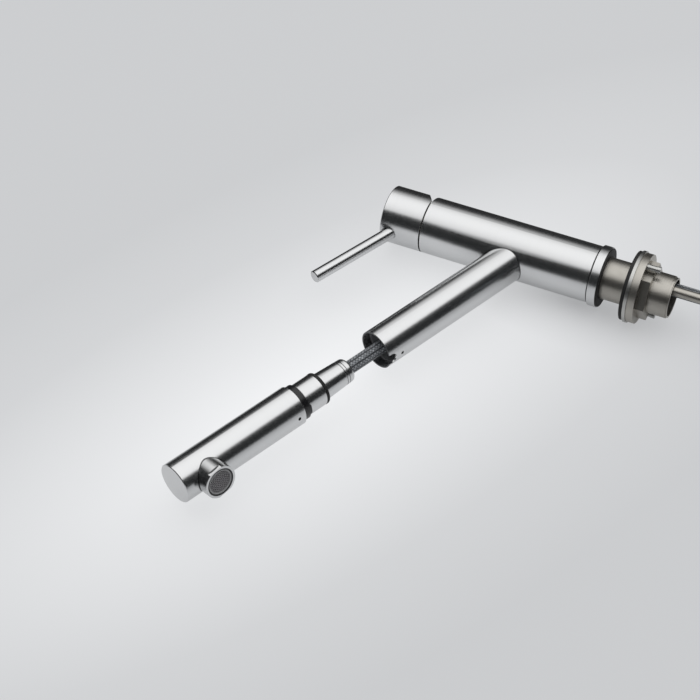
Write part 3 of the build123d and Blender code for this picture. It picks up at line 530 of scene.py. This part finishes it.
def branch_masks(add, place, line, start, radius, branch):
    """1 on the branch, 1 in the seam, and how far along the branch a place is."""
    branch_line, branch_start, branch_radius = branch
    from_branch = vectors(add, "SUBTRACT", place, branch_start)
    station = vectors(add, "DOT_PRODUCT", from_branch, branch_line, "Value")
    forward = maths(add, "GREATER_THAN", station, 0.0)
    away = away_from(add, vectors(add, "SUBTRACT", place, start), line)
    on_branch = times(add, maths(add, "GREATER_THAN", away, radius + SKIN), forward)
    off_branch = off_skin(add, away_from(add, from_branch, branch_line), branch_radius)
    from_seam = maths(add, "MAXIMUM", off_skin(add, away, radius), off_branch)
    seam = times(add, maths(add, "LESS_THAN", from_seam, SEAM), forward)
    return on_branch, seam, station


# %% [markdown]
# Brushed stainless steel. A belt runs round each tube, so its fine scratches run round it as well. They blur
# what the metal mirrors along the tube and keep it sharp across, which gives the long even bands. The
# shader's anisotropy does that where its tangent points round the tube: the cross product of the tube's
# line and the surface normal. On a flat end those two are parallel, so a little of the direction away from
# the line is added to the normal, and the scratches run in circles there. The scratches are a noise that is
# squeezed along the tube's line.
#
# The Bevel node rounds the light on every edge, as a buffing wheel rounds the real ones, and painted shade
# darkens the inner corners. From station 157 on, the rim of the spout's mouth has a dark grey finish that
# is not metal.

# %% Brushed steel
STEEL_COLOUR = (0.70, 0.705, 0.71)
SCRATCH_COLOUR = tuple(c * 0.94 for c in STEEL_COLOUR)
SEAM_COLOUR = (0.02, 0.02, 0.022, 1)
SEAM_DEPTH = 0.85
LIP_COLOUR = (0.10, 0.105, 0.11, 1)
EDGE = 0.35 * MM
CREASE = 1.8 * MM
CREASE_SHADE = 0.06
OUTWARD_PULL = 8.0
ROUGHNESS = 0.20
SCRATCH_ROUGH, BELT_ROUGH, SMEAR_ROUGH = 0.10, 0.05, 0.04


def in_world(add, vector):
    """A direction on the piece, as it points in the room when the piece has moved."""
    turn = {"vector_type": "VECTOR", "convert_from": "OBJECT", "convert_to": "WORLD"}
    return add("ShaderNodeVectorTransform", turn, Vector=vector).outputs["Vector"]


def brushed_steel(name, line, start=(0, 0, 0), radius=None, branch=None, lip=None, corner=CREASE_SHADE):
    """Steel brushed round a line. A branch is the line, start and radius of a second tube that joins it."""
    material, add = new_tree(name)
    place = on_piece(add)
    axis, centre = tuple(line), tuple(start)
    if branch:
        branch = tuple(branch[0]), tuple(branch[1]), branch[2]
        on_branch, seam, station = branch_masks(add, place, axis, centre, radius, branch)
        axis = mixed(add, "VECTOR", on_branch, axis, branch[0])
        centre = mixed(add, "VECTOR", on_branch, centre, branch[1])
    along = vectors(add, "DOT_PRODUCT", place, axis, "Value")

    def squeezed(across, lengthwise, detail):
        """A noise that is fine along the tube's line and long round it."""
        shift = scaled(add, axis, times(add, along, lengthwise))
        both = vectors(add, "ADD", scaled(add, place, across), shift)
        return noise(add, both, 1.0, detail, Roughness=0.6)

    scratches = squeezed(60, 6000, 3.0)
    belts = squeezed(25, 700, 2.0)
    smears = noise(add, place, 38.0, 3.0)
    rounded = add("ShaderNodeBevel", {"samples": 4}, Radius=EDGE).outputs["Normal"]
    outward = scaled(add, vectors(add, "SUBTRACT", place, centre), OUTWARD_PULL)
    out_of_line = vectors(add, "ADD", in_world(add, outward), rounded)
    round_it = vectors(add, "CROSS_PRODUCT", in_world(add, axis), out_of_line)
    roughness = plus(add, times(add, scratches, SCRATCH_ROUGH), times(add, belts, BELT_ROUGH),
                     times(add, smears, SMEAR_ROUGH),
                     ROUGHNESS - (SCRATCH_ROUGH + BELT_ROUGH + SMEAR_ROUGH) / 2)
    colour = ramp(add, scratches, (0.25, SCRATCH_COLOUR), (0.75, STEEL_COLOUR))
    # Painted shade in the inner corners, as far as CREASE reaches.
    colour = painted_corner_shade(add, colour, CREASE, (0.52, corner), (0.86, 1.0))
    if branch:
        colour = mixed(add, "RGBA", times(add, seam, SEAM_DEPTH), colour, SEAM_COLOUR)
    bump = add("ShaderNodeBump", Strength=0.25, Distance=0.02 * MM, Height=scratches, Normal=rounded)
    steel = add("ShaderNodeBsdfPrincipled", Base_Color=colour, Metallic=1.0, Roughness=roughness,
                Anisotropic=0.55, Tangent=round_it, Normal=bump.outputs["Normal"])
    finish = steel.outputs["BSDF"]
    # From LIP_START on, the rim of the mouth gets a dark grey finish instead of steel.
    if lip:
        at_mouth = times(add, on_branch, maths(add, "GREATER_THAN", station, lip))
        dark_rim_finish = add("ShaderNodeBsdfPrincipled", Base_Color=LIP_COLOUR, Roughness=0.4,
                     Normal=bump.outputs["Normal"])
        finish = mixed_shaders(add, at_mouth, finish, dark_rim_finish.outputs["BSDF"])
    surface(add, finish)
    return material


# %% [markdown]
# The steel pieces are brushed round three lines, and two of them have a branch, so each kind gets a finish of
# its own. The grooves of the coupling and the ferrule are shallow and open, so the painted shade in their
# corners is lighter.

# %% Steel pieces
UP = (0, 0, 1)
COLUMN_RADIUS = 23 * MM
SPOUT_RADIUS = 15.7 * MM
OUTLET_RADIUS = 12.95 * MM
LIP_START = 157.05 * MM
GROOVE_SHADE = 0.45

steel_column = brushed_steel("steel_column", UP, radius=COLUMN_RADIUS, lip=LIP_START,
                             branch=(SPOUT_LINE, SPOUT_START, SPOUT_RADIUS))
steel_up = brushed_steel("steel_cap", UP)
steel_spout = brushed_steel("steel_head", SPOUT_LINE, SPOUT_START, corner=GROOVE_SHADE)
steel_head = brushed_steel("steel_head_shell", SPOUT_LINE, SPOUT_START, radius=SPOUT_RADIUS,
                           branch=(UNDER, on_spout(OUTLET), OUTLET_RADIUS))
steel_lever = brushed_steel("steel_lever", LEVER_LINE, LEVER_START)
dress(steel_column, "column")
dress(steel_up, "control_cap", "base_ring")
dress(steel_head, "head_shell")
dress(steel_spout, "coupling", "ferrule")
dress(steel_lever, "lever")
print("nodes in the column's steel:", len(steel_column.node_tree.nodes))

# %% [markdown]
# The other finishes are plainer: moulded black and grey plastic with a fine grain, rubber, turned brass,
# nickel, zinc-plated steel, the pale plastic of the valve's inside and the polished ceramic of its discs. The
# cells of the honeycomb and the brass deep in the column get little light, so both are darker where they are
# sunk.

# %% Plain finishes
GRAIN_RELIEF = 0.05 * MM
BRASS_SHADE = 8 * MM
HONEYCOMB_SHADE = 3 * MM


def grained(name, dark, pale, rough, grain=900.0, depth=0.15, metal=0.0, sunk=0.0):
    """A surface with a fine random grain in its colour, gloss and relief. Where it is sunk, painted shade
    darkens it.
    """
    material, add = new_tree(name)
    place = on_piece(add)
    fine = noise(add, place, grain, 4.0)
    patches = noise(add, place, grain / 25, 2.0)
    colour = ramp(add, patches, (0.3, dark), (0.7, pale))
    if sunk:
        # Painted shade where the surface is sunk.
        colour = painted_corner_shade(add, colour, sunk, (0.15, 0.02), (0.75, 1.0))
    roughness = plus(add, times(add, fine, 0.12), rough - 0.06)
    bump = add("ShaderNodeBump", Strength=depth, Distance=GRAIN_RELIEF, Height=fine).outputs["Normal"]
    shader = add("ShaderNodeBsdfPrincipled", Base_Color=colour, Metallic=metal, Roughness=roughness,
                 Normal=bump)
    surface(add, shader.outputs["BSDF"])
    return material


black_plastic = grained("black_plastic", (0.012, 0.012, 0.014), (0.022, 0.022, 0.024), 0.27)
black_rubber = grained("black_rubber", (0.014, 0.014, 0.014), (0.026, 0.026, 0.026), 0.62, depth=0.3)
black_steel = grained("blackened_screw", (0.02, 0.02, 0.022), (0.04, 0.04, 0.042), 0.35, metal=0.6)
bare_metal = partial(grained, grain=1400, depth=0.1, metal=1.0)
brass = bare_metal("turned_brass", (0.55, 0.41, 0.19), (0.66, 0.51, 0.26), 0.34, sunk=BRASS_SHADE)
nickel = bare_metal("dull_nickel", (0.44, 0.42, 0.38), (0.54, 0.52, 0.48), 0.38)
zinc = bare_metal("zinc_plate", (0.50, 0.50, 0.49), (0.62, 0.62, 0.60), 0.36, grain=1200)
honeycomb_plastic = grained("honeycomb_plastic", (0.46, 0.445, 0.465), (0.56, 0.545, 0.565), 0.34,
                            sunk=HONEYCOMB_SHADE)
bush_plastic = grained("bush_plastic", (0.30, 0.305, 0.315), (0.36, 0.365, 0.375), 0.34)
grey_plastic = grained("grey_ring", (0.46, 0.465, 0.47), (0.54, 0.545, 0.55), 0.30)
pale_plastic = grained("pale_plastic", (0.68, 0.67, 0.63), (0.76, 0.75, 0.71), 0.40)
core_plastic = grained("core_plastic", (0.05, 0.05, 0.05), (0.07, 0.07, 0.07), 0.40)
ceramic = grained("ceramic", (0.80, 0.79, 0.75), (0.86, 0.85, 0.81), 0.12, grain=300, depth=0.02)

dress(black_plastic, "collar", "aerator_housing", "foot_washer", "hose_tie")
dress(bush_plastic, "docking_bush")
dress(black_rubber, "base_seal", "rubber_washer", "cartridge_seal", "coupling_o_ring", "aerator_seal")
dress(black_steel, "spout_grub_screw", "head_grub_screw")
dress(brass, "valve_body", "cartridge_nut")
dress(nickel, "mounting_nut", "mixed_tail", "union_nut")
dress(zinc, "clamp_washer", "jack_screws", "stop_screw", "pivot_pin", "spindle", "coupling_clip")
dress(grey_plastic, "aerator_insert")
dress(pale_plastic, "cartridge_base", "cartridge_housing", "turret", "waterway", "slide_rings")
dress(core_plastic, "aerator_core")
dress(ceramic, "fixed_disc", "moving_disc")
print("nodes in the brass:", len(brass.node_tree.nodes))

# %% [markdown]
# Two pieces repeat one small shape by a rule, so Geometry Nodes make them: the thread of the mounting shank
# and the honeycomb over the outlet. A tree with named inputs is put on an empty mesh as a modifier, its
# inputs are set, and what it makes is kept as a plain mesh. A change of pitch or size then needs one number.

# %% Geometry Nodes helpers
SHARP = radians(32)


def new_shape(name, *inputs):
    """An empty tree with number inputs and a material input, its inputs by name, and a function that adds."""
    tree = bpy.data.node_groups.new(name, "GeometryNodeTree")
    tree.interface.new_socket("Geometry", in_out="OUTPUT", socket_type="NodeSocketGeometry")
    for key in inputs:
        tree.interface.new_socket(key, in_out="INPUT", socket_type="NodeSocketFloat")
    tree.interface.new_socket("Material", in_out="INPUT", socket_type="NodeSocketMaterial")
    given = tree.nodes.new("NodeGroupInput").outputs
    return tree, given, partial(put, tree)


def end_shape(add, given, *parts):
    """Joins the parts, makes copies real and gives them their material."""
    joined = add("GeometryNodeJoinGeometry", Geometry=list(parts)).outputs["Geometry"]
    real = add("GeometryNodeRealizeInstances", Geometry=joined).outputs["Geometry"]
    dressed = add("GeometryNodeSetMaterial", Geometry=real, Material=given["Material"]).outputs["Geometry"]
    add("NodeGroupOutput", Geometry=dressed)


def grow(name, tree, material, place=None, **sizes):
    """Runs a tree with its sizes in millimetres and keeps the result as a plain mesh in its place."""
    piece = bpy.data.objects.new(name, bpy.data.meshes.new(name))
    bpy.context.scene.collection.objects.link(piece)
    modifier = piece.modifiers.new(name, "NODES")
    modifier.node_group = tree
    for socket in tree.interface.items_tree:
        if socket.in_out == "INPUT":
            key = socket.name.lower()
            modifier[socket.identifier] = material if key == "material" else sizes[key] * MM
    made = bpy.data.meshes.new_from_object(piece.evaluated_get(bpy.context.evaluated_depsgraph_get()))
    piece.modifiers.clear()
    piece.data = made
    if place:
        made.transform(place)
    made.shade_smooth()
    made.set_sharp_from_angle(angle=SHARP)
    print(name + ":", len(made.polygons), "faces")
    return piece


# %% [markdown]
# Both shapes are made of the same few forms: a circle, an oblong bar, and a profile that is swept along a
# curve. The normals of the curve are set upright first, so that the profile doesn't twist on its way.

# %% Forms


def circle(add, corners, radius):
    """A round or many-sided curve."""
    return add("GeometryNodeCurvePrimitiveCircle", Resolution=corners, Radius=radius).outputs["Curve"]


def oblong(add, width, height):
    """A rectangle as a curve."""
    return add("GeometryNodeCurvePrimitiveQuadrilateral", Width=width, Height=height).outputs["Curve"]


def swept(add, path_curve, profile, caps=False):
    """A profile along a flat or rising curve, with the profile's X pointing outwards."""
    upright = add("GeometryNodeSetCurveNormal", {"mode": "Z_UP"}, Curve=path_curve).outputs["Curve"]
    form = add("GeometryNodeCurveToMesh", Curve=upright, Profile_Curve=profile, Fill_Caps=caps)
    return form.outputs["Mesh"]


def moved(add, shape, **by):
    """A shape after a Translation or a Rotation."""
    return add("GeometryNodeTransform", Geometry=shape, **by).outputs["Geometry"]


# %% [markdown]
# The mounting shank is a brass tube with a rolled thread, dull nickel plated. The thread is one long ridge,
# so it is a spiral curve with a small trapezium swept along it, a little sunk in the tube, and the tube is a
# circle with an upright strip swept round it. The thread starts and ends three quarters of a pitch from the
# tube's ends.

# %% Threaded shank
RIDGE_FOOT, RIDGE_TIP = 0.94, 0.2
RIDGE_SINK = 1.15
END_GAP = 0.75

shank_tree, given, add = new_shape("thread", "Bore", "Root", "Crest", "Bottom", "Top", "Pitch")
wall = minus(add, given["Root"], given["Bore"])
wall_radius = times(add, plus(add, given["Root"], given["Bore"]), 0.5)
height = minus(add, given["Top"], given["Bottom"])
round_tube = swept(add, circle(add, 128, wall_radius), oblong(add, wall, height))
half_way = times(add, plus(add, given["Top"], given["Bottom"]), 0.5)
tube = moved(add, round_tube, Translation=xyz(add, Z=half_way))

depth = times(add, minus(add, given["Crest"], given["Root"]), RIDGE_SINK)
ridge = add("GeometryNodeCurvePrimitiveQuadrilateral", {"mode": "TRAPEZOID"}, Height=depth, Offset=0.0,
            Bottom_Width=times(add, given["Pitch"], RIDGE_FOOT),
            Top_Width=times(add, given["Pitch"], RIDGE_TIP)).outputs["Curve"]
outwards = moved(add, ridge, Rotation=(0, 0, radians(-90)))
radius = minus(add, given["Crest"], times(add, depth, 0.5))
rise = minus(add, height, times(add, given["Pitch"], 2 * END_GAP))
spiral = add("GeometryNodeCurveSpiral", Resolution=72, Rotations=maths(add, "DIVIDE", rise, given["Pitch"]),
             Start_Radius=radius, End_Radius=radius, Height=rise).outputs["Curve"]
foot = plus(add, given["Bottom"], times(add, given["Pitch"], END_GAP))
thread = moved(add, swept(add, spiral, outwards, caps=True), Translation=xyz(add, Z=foot))
end_shape(add, given, tube, thread)

shank = grow("shank_thread", shank_tree, nickel, bore=14.75, root=16.15, crest=16.9, bottom=-55.0, top=5.5,
             pitch=2.0)
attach(shank, "base")
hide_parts("threaded_shank")

# %% [markdown]
# The outlet's face is a moulded honeycomb that straightens the water. One six-sided ring is copied to every
# point of a grid whose odd rows are moved half a cell. Corners that would pass the round rim are pulled back
# to it, so the cells at the edge are cut by the rim as they are in the real one.

# %% Honeycomb cells
CELLS = 13
OVERHANG = 0.3
INTO_RIM = 0.4

honeycomb_tree, given, add = new_shape("honeycomb", "Radius", "Rim", "Pitch", "Wall", "Depth")
row_step = times(add, given["Pitch"], sqrt(3) / 2)
grid = add("GeometryNodeMeshGrid", Size_X=times(add, given["Pitch"], CELLS - 1),
           Size_Y=times(add, row_step, CELLS - 1), Vertices_X=CELLS, Vertices_Y=CELLS).outputs["Mesh"]
spot = add("GeometryNodeInputPosition").outputs["Position"]
row = maths(add, "DIVIDE", add("ShaderNodeSeparateXYZ", Vector=spot).outputs["Y"], row_step)
odd = maths(add, "FLOORED_MODULO", maths(add, "ROUND", row), 2.0)
aside = times(add, times(add, odd, given["Pitch"]), 0.5)
staggered = add("GeometryNodeSetPosition", Geometry=grid, Offset=xyz(add, X=aside)).outputs["Geometry"]
limit = plus(add, given["Radius"], times(add, given["Pitch"], OVERHANG))
outside = maths(add, "GREATER_THAN", vectors(add, "LENGTH", spot, output="Value"), limit)
points = add("GeometryNodeDeleteGeometry", {"domain": "POINT"}, Geometry=staggered, Selection=outside)
cell_radius = times(add, minus(add, given["Pitch"], times(add, given["Wall"], 0.5)), 1 / sqrt(3))
cell = swept(add, circle(add, 6, cell_radius), oblong(add, given["Wall"], given["Depth"]))
cell = moved(add, cell, Rotation=(0, 0, radians(30)))
copies = add("GeometryNodeInstanceOnPoints", Points=points.outputs["Geometry"], Instance=cell)
cells = add("GeometryNodeRealizeInstances", Geometry=copies.outputs["Instances"]).outputs["Geometry"]

level = add("ShaderNodeSeparateXYZ", Vector=spot).outputs["Z"]
flat = vectors(add, "MULTIPLY", spot, (1, 1, 0))
reach = vectors(add, "LENGTH", flat, output="Value")
allowed = minus(add, given["Radius"], times(add, given["Rim"], INTO_RIM))
pull = maths(add, "MINIMUM", maths(add, "DIVIDE", allowed, reach), 1.0)
kept = vectors(add, "ADD", scaled(add, flat, pull), xyz(add, Z=level))
cut = add("GeometryNodeSetPosition", Geometry=cells, Position=kept).outputs["Geometry"]
rim_radius = minus(add, given["Radius"], times(add, given["Rim"], 0.5))
rim = swept(add, circle(add, 72, rim_radius), oblong(add, given["Rim"], given["Depth"]))
end_shape(add, given, cut, rim)

# %% [markdown]
# The honeycomb is grown flat round the origin and then put in the outlet, whose line points down from the
# head. Its place along that line is given by its near and far faces.

# %% Honeycomb in the outlet
MESH_NEAR, MESH_FAR = 21.65, 22.85

outlet_x = Matrix.Rotation(HEAD_TWIST, 3, SPOUT_LINE) @ RIGHT
mesh_middle = on_spout(OUTLET) + UNDER * (MESH_NEAR + MESH_FAR) / 2 * MM
honeycomb = grow("honeycomb", honeycomb_tree, honeycomb_plastic,
                 placed(mesh_middle, outlet_x, UNDER.cross(outlet_x), UNDER),
                 radius=9.1, rim=0.5, pitch=1.9, wall=0.34, depth=MESH_FAR - MESH_NEAR)
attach(honeycomb, "head")
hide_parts("aerator_mesh")

# %% [markdown]
# The table. It is a pale sheet with painted glow, so the faucet's shadow on it is weak. A soft gradient
# paints a ridge of light that runs past the head to the column's foot, and the sheet is greyer on both sides.
# One large plane carries it, as far below the column's axis as the clamping washer reaches, since that is
# what the faucet lies on. Camera rays see three parts of painted glow to one part of lit sheet, which keeps
# the shadow, and mirror rays about as much of one as of the other. Under the column, which lies closest to
# the table, an oval of weaker glow leaves a deeper shadow, a painted shadow. All other rays see the lit
# sheet alone, so it sheds no extra light.

# %% Table's glow
TABLE_LEVEL = -29.2 * MM
RIDGE_MIDDLE = (-186 * MM, 168 * MM)
RIDGE_TURN = radians(-26.6)
RIDGE_SIZE = (0.62, 0.24)
RIDGE_COLOURS = (
    (0.0, (0.665, 0.675, 0.69)),
    (0.35, (0.72, 0.73, 0.745)),
    (0.7, (0.87, 0.88, 0.895)),
    (1.0, (1.02, 1.03, 1.045)),
)
SEEN_GLOW, MIRRORED_GLOW = 0.75, 0.45
CLOSE_MIDDLE = (-8 * MM, 20 * MM)
CLOSE_SIZE = (50 * MM, 100 * MM)
CLOSE_LOSS = 0.45


def soft_oval(add, place, middle, size, turn=0.0):
    """1 in the middle of an oval patch of the table, falling to 0 at its edge."""
    inside = add("ShaderNodeMapping", {"vector_type": "TEXTURE"}, Vector=place,
                 Location=(TABLE_LEVEL, *middle), Rotation=(turn, 0, 0), Scale=(1, *size)).outputs["Vector"]
    return add("ShaderNodeTexGradient", {"gradient_type": "SPHERICAL"}, Vector=inside).outputs["Fac"]


table_finish, add = new_tree("table_sheet")
rays = add("ShaderNodeLightPath").outputs
where = on_piece(add)
# A painted ridge of light: a soft gradient sets the sheet's colour and glow.
shade = ramp(add, soft_oval(add, where, RIDGE_MIDDLE, RIDGE_SIZE, RIDGE_TURN), *RIDGE_COLOURS)
lit = add("ShaderNodeBsdfPrincipled", Base_Color=shade, Roughness=0.75, Specular_IOR_Level=0.2)
glow = add("ShaderNodeEmission", Color=shade, Strength=1.0)
seen = times(add, rays["Is Camera Ray"], SEEN_GLOW)
mirrored = times(add, rays["Is Glossy Ray"], MIRRORED_GLOW)
# Painted shadow: the glow is weaker in an oval under the column.
column_shadow_patch = soft_oval(add, where, CLOSE_MIDDLE, CLOSE_SIZE)
glow_share = times(add, plus(add, seen, mirrored), swing(add, column_shadow_patch, 1.0, 1.0 - CLOSE_LOSS))
pale_sheet = mixed_shaders(add, glow_share, lit.outputs["BSDF"], glow.outputs["Emission"])
print("glow seen and mirrored:", SEEN_GLOW, MIRRORED_GLOW)

# %% [markdown]
# The far edge of every tube is nearly black, as a dark studio mirrored in a smooth table would make it, so
# the table paints that dark reflection for mirror rays. Layer Weight compares a ray with a direction. Given
# the direction of the dark side as its normal, it is 0 for a ray that runs straight to that side, so a ramp
# on it paints dark what the steel mirrors there. Near the spray head, which stands nearer to the light, the
# painted dark reflection is weaker. From behind, the sheet would hide the faucet, so it lets camera rays
# through from that side.

# %% Table
TABLE_REACH = 4.0
DARK_SIDE = {"X": 0.0, "Y": 0.8, "Z": 0.6}
DARK_REFLECTION_STOPS = (0.0, 0.97), (0.10, 0.96), (0.19, 0.88), (0.29, 0.72), (0.38, 0.0)
HEAD_SIDE = (-122 * MM, -160 * MM)
HEAD_RELIEF = 0.25


def upright_sheet(name, level, low, high, material, facing=1):
    """A flat rectangle that stands across X, seen from the +X side, or from the -X side if facing is -1."""
    corners = [(low[0], low[1]), (high[0], low[1]), (high[0], high[1]), (low[0], high[1])]
    mesh = bpy.data.meshes.new(name)
    mesh.from_pydata([(level, *corner) for corner in corners[::facing]], [], [(0, 1, 2, 3)])
    mesh.materials.append(material)
    sheet = bpy.data.objects.new(name, mesh)
    bpy.context.scene.collection.objects.link(sheet)
    return sheet


turned_off = add("ShaderNodeLayerWeight", Blend=0.5, Normal=xyz(add, **DARK_SIDE)).outputs["Facing"]
forward_place = add("ShaderNodeSeparateXYZ", Vector=where).outputs["Y"]
at_head = add("ShaderNodeMapRange", {"interpolation_type": "SMOOTHSTEP"}, Value=forward_place,
              From_Min=HEAD_SIDE[0], From_Max=HEAD_SIDE[1], To_Max=HEAD_RELIEF).outputs["Result"]
# Painted reflection: mirror rays that run towards the dark side see black.
painted_dark_reflection = times(add, ramp(add, plus(add, turned_off, at_head), *DARK_REFLECTION_STOPS), rays["Is Glossy Ray"])
nothing = add("ShaderNodeEmission", Color=(0, 0, 0, 1), Strength=0.0).outputs["Emission"]
front_face = mixed_shaders(add, painted_dark_reflection, pale_sheet, nothing)
clear = add("ShaderNodeBsdfTransparent").outputs["BSDF"]
behind = add("ShaderNodeNewGeometry").outputs["Backfacing"]
surface(add, mixed_shaders(add, times(add, behind, rays["Is Camera Ray"]), front_face, clear))
table = upright_sheet("table", TABLE_LEVEL, (-TABLE_REACH, -TABLE_REACH), (TABLE_REACH, TABLE_REACH),
                      table_finish)
print("table:", 2 * TABLE_REACH, "m square,", len(table_finish.node_tree.nodes), "nodes")

# %% [markdown]
# The light. The bands on the tubes say what hung over the table: one wide soft box, square to the table,
# whose near edge is sharp and whose far side fades away slowly, in a dark studio. A glowing plane with a
# colour ramp along each side does that. The camera doesn't see it. Its brightest part is a little over 1, so
# a colour under it renders about as it is written.

# %% Soft box
BOX_HEIGHT = 1.2
BOX_LOW = (-1.0, -0.99)
BOX_HIGH = (3.4, 1.9)
BOX_GLOW = 1.24
ACROSS_BOX = (
    (0.0, 0.0), (0.03, 0.80), (0.08, 0.84), (0.15, 0.93), (0.22, 1.0), (0.32, 1.0), (0.41, 0.93),
    (0.46, 0.78), (0.523, 0.59), (0.58, 0.43), (0.68, 0.25), (0.80, 0.11), (1.0, 0.0),
)
UP_BOX = (0.0, 0.0), (0.07, 1.0), (0.80, 1.0), (1.0, 0.0)

box_finish, add = new_tree("soft_box")
where = add("ShaderNodeSeparateXYZ", Vector=on_piece(add)).outputs
side = add("ShaderNodeMapRange", Value=where["Y"], From_Min=BOX_LOW[0], From_Max=BOX_HIGH[0])
up = add("ShaderNodeMapRange", Value=where["Z"], From_Min=BOX_LOW[1], From_Max=BOX_HIGH[1])
across, upward = ramp(add, side.outputs["Result"], *ACROSS_BOX), ramp(add, up.outputs["Result"], *UP_BOX)
front_only = minus(add, 1.0, add("ShaderNodeNewGeometry").outputs["Backfacing"])
strength = times(add, times(add, times(add, across, upward), front_only), BOX_GLOW)
surface(add, add("ShaderNodeEmission", Strength=strength).outputs["Emission"])
soft_box = upright_sheet("soft_box", BOX_HEIGHT, BOX_LOW, BOX_HIGH, box_finish, facing=-1)
soft_box.visible_camera = False
print("soft box:", [round(high - low, 2) for low, high in zip(BOX_LOW, BOX_HIGH)], "m")

# %% [markdown]
# The studio beyond the table and the box. The camera sees a plain pale grey there. The steel mirrors a room
# that is nearly dark and a little blue, and all other rays get a faint even light, which keeps the deepest
# shadows from going black. Light Path tells the rays apart, so the backdrop adds no light to the faucet.

# %% Studio
BACKDROP = ((0.70, 0.71, 0.725), 1.0)
MIRRORED_ROOM = ((0.9, 0.96, 1.0), 0.02)
FAINT_LIGHT = ((1.0, 1.0, 1.0), 0.10)

world = bpy.data.worlds.new("studio")
world.use_nodes = True
bpy.context.scene.world = world
world.node_tree.nodes.clear()
add = partial(put, world.node_tree)
rays = add("ShaderNodeLightPath").outputs


def room(colour, strength):
    """An even light from all round."""
    return add("ShaderNodeBackground", Color=(*colour, 1), Strength=strength).outputs["Background"]


unseen = mixed_shaders(add, rays["Is Glossy Ray"], room(*FAINT_LIGHT), room(*MIRRORED_ROOM))
add("ShaderNodeOutputWorld", Surface=mixed_shaders(add, rays["Is Camera Ray"], unseen, room(*BACKDROP)))

bpy.context.scene.view_settings.view_transform = "Standard"
print("studio:", len(world.node_tree.nodes), "nodes")
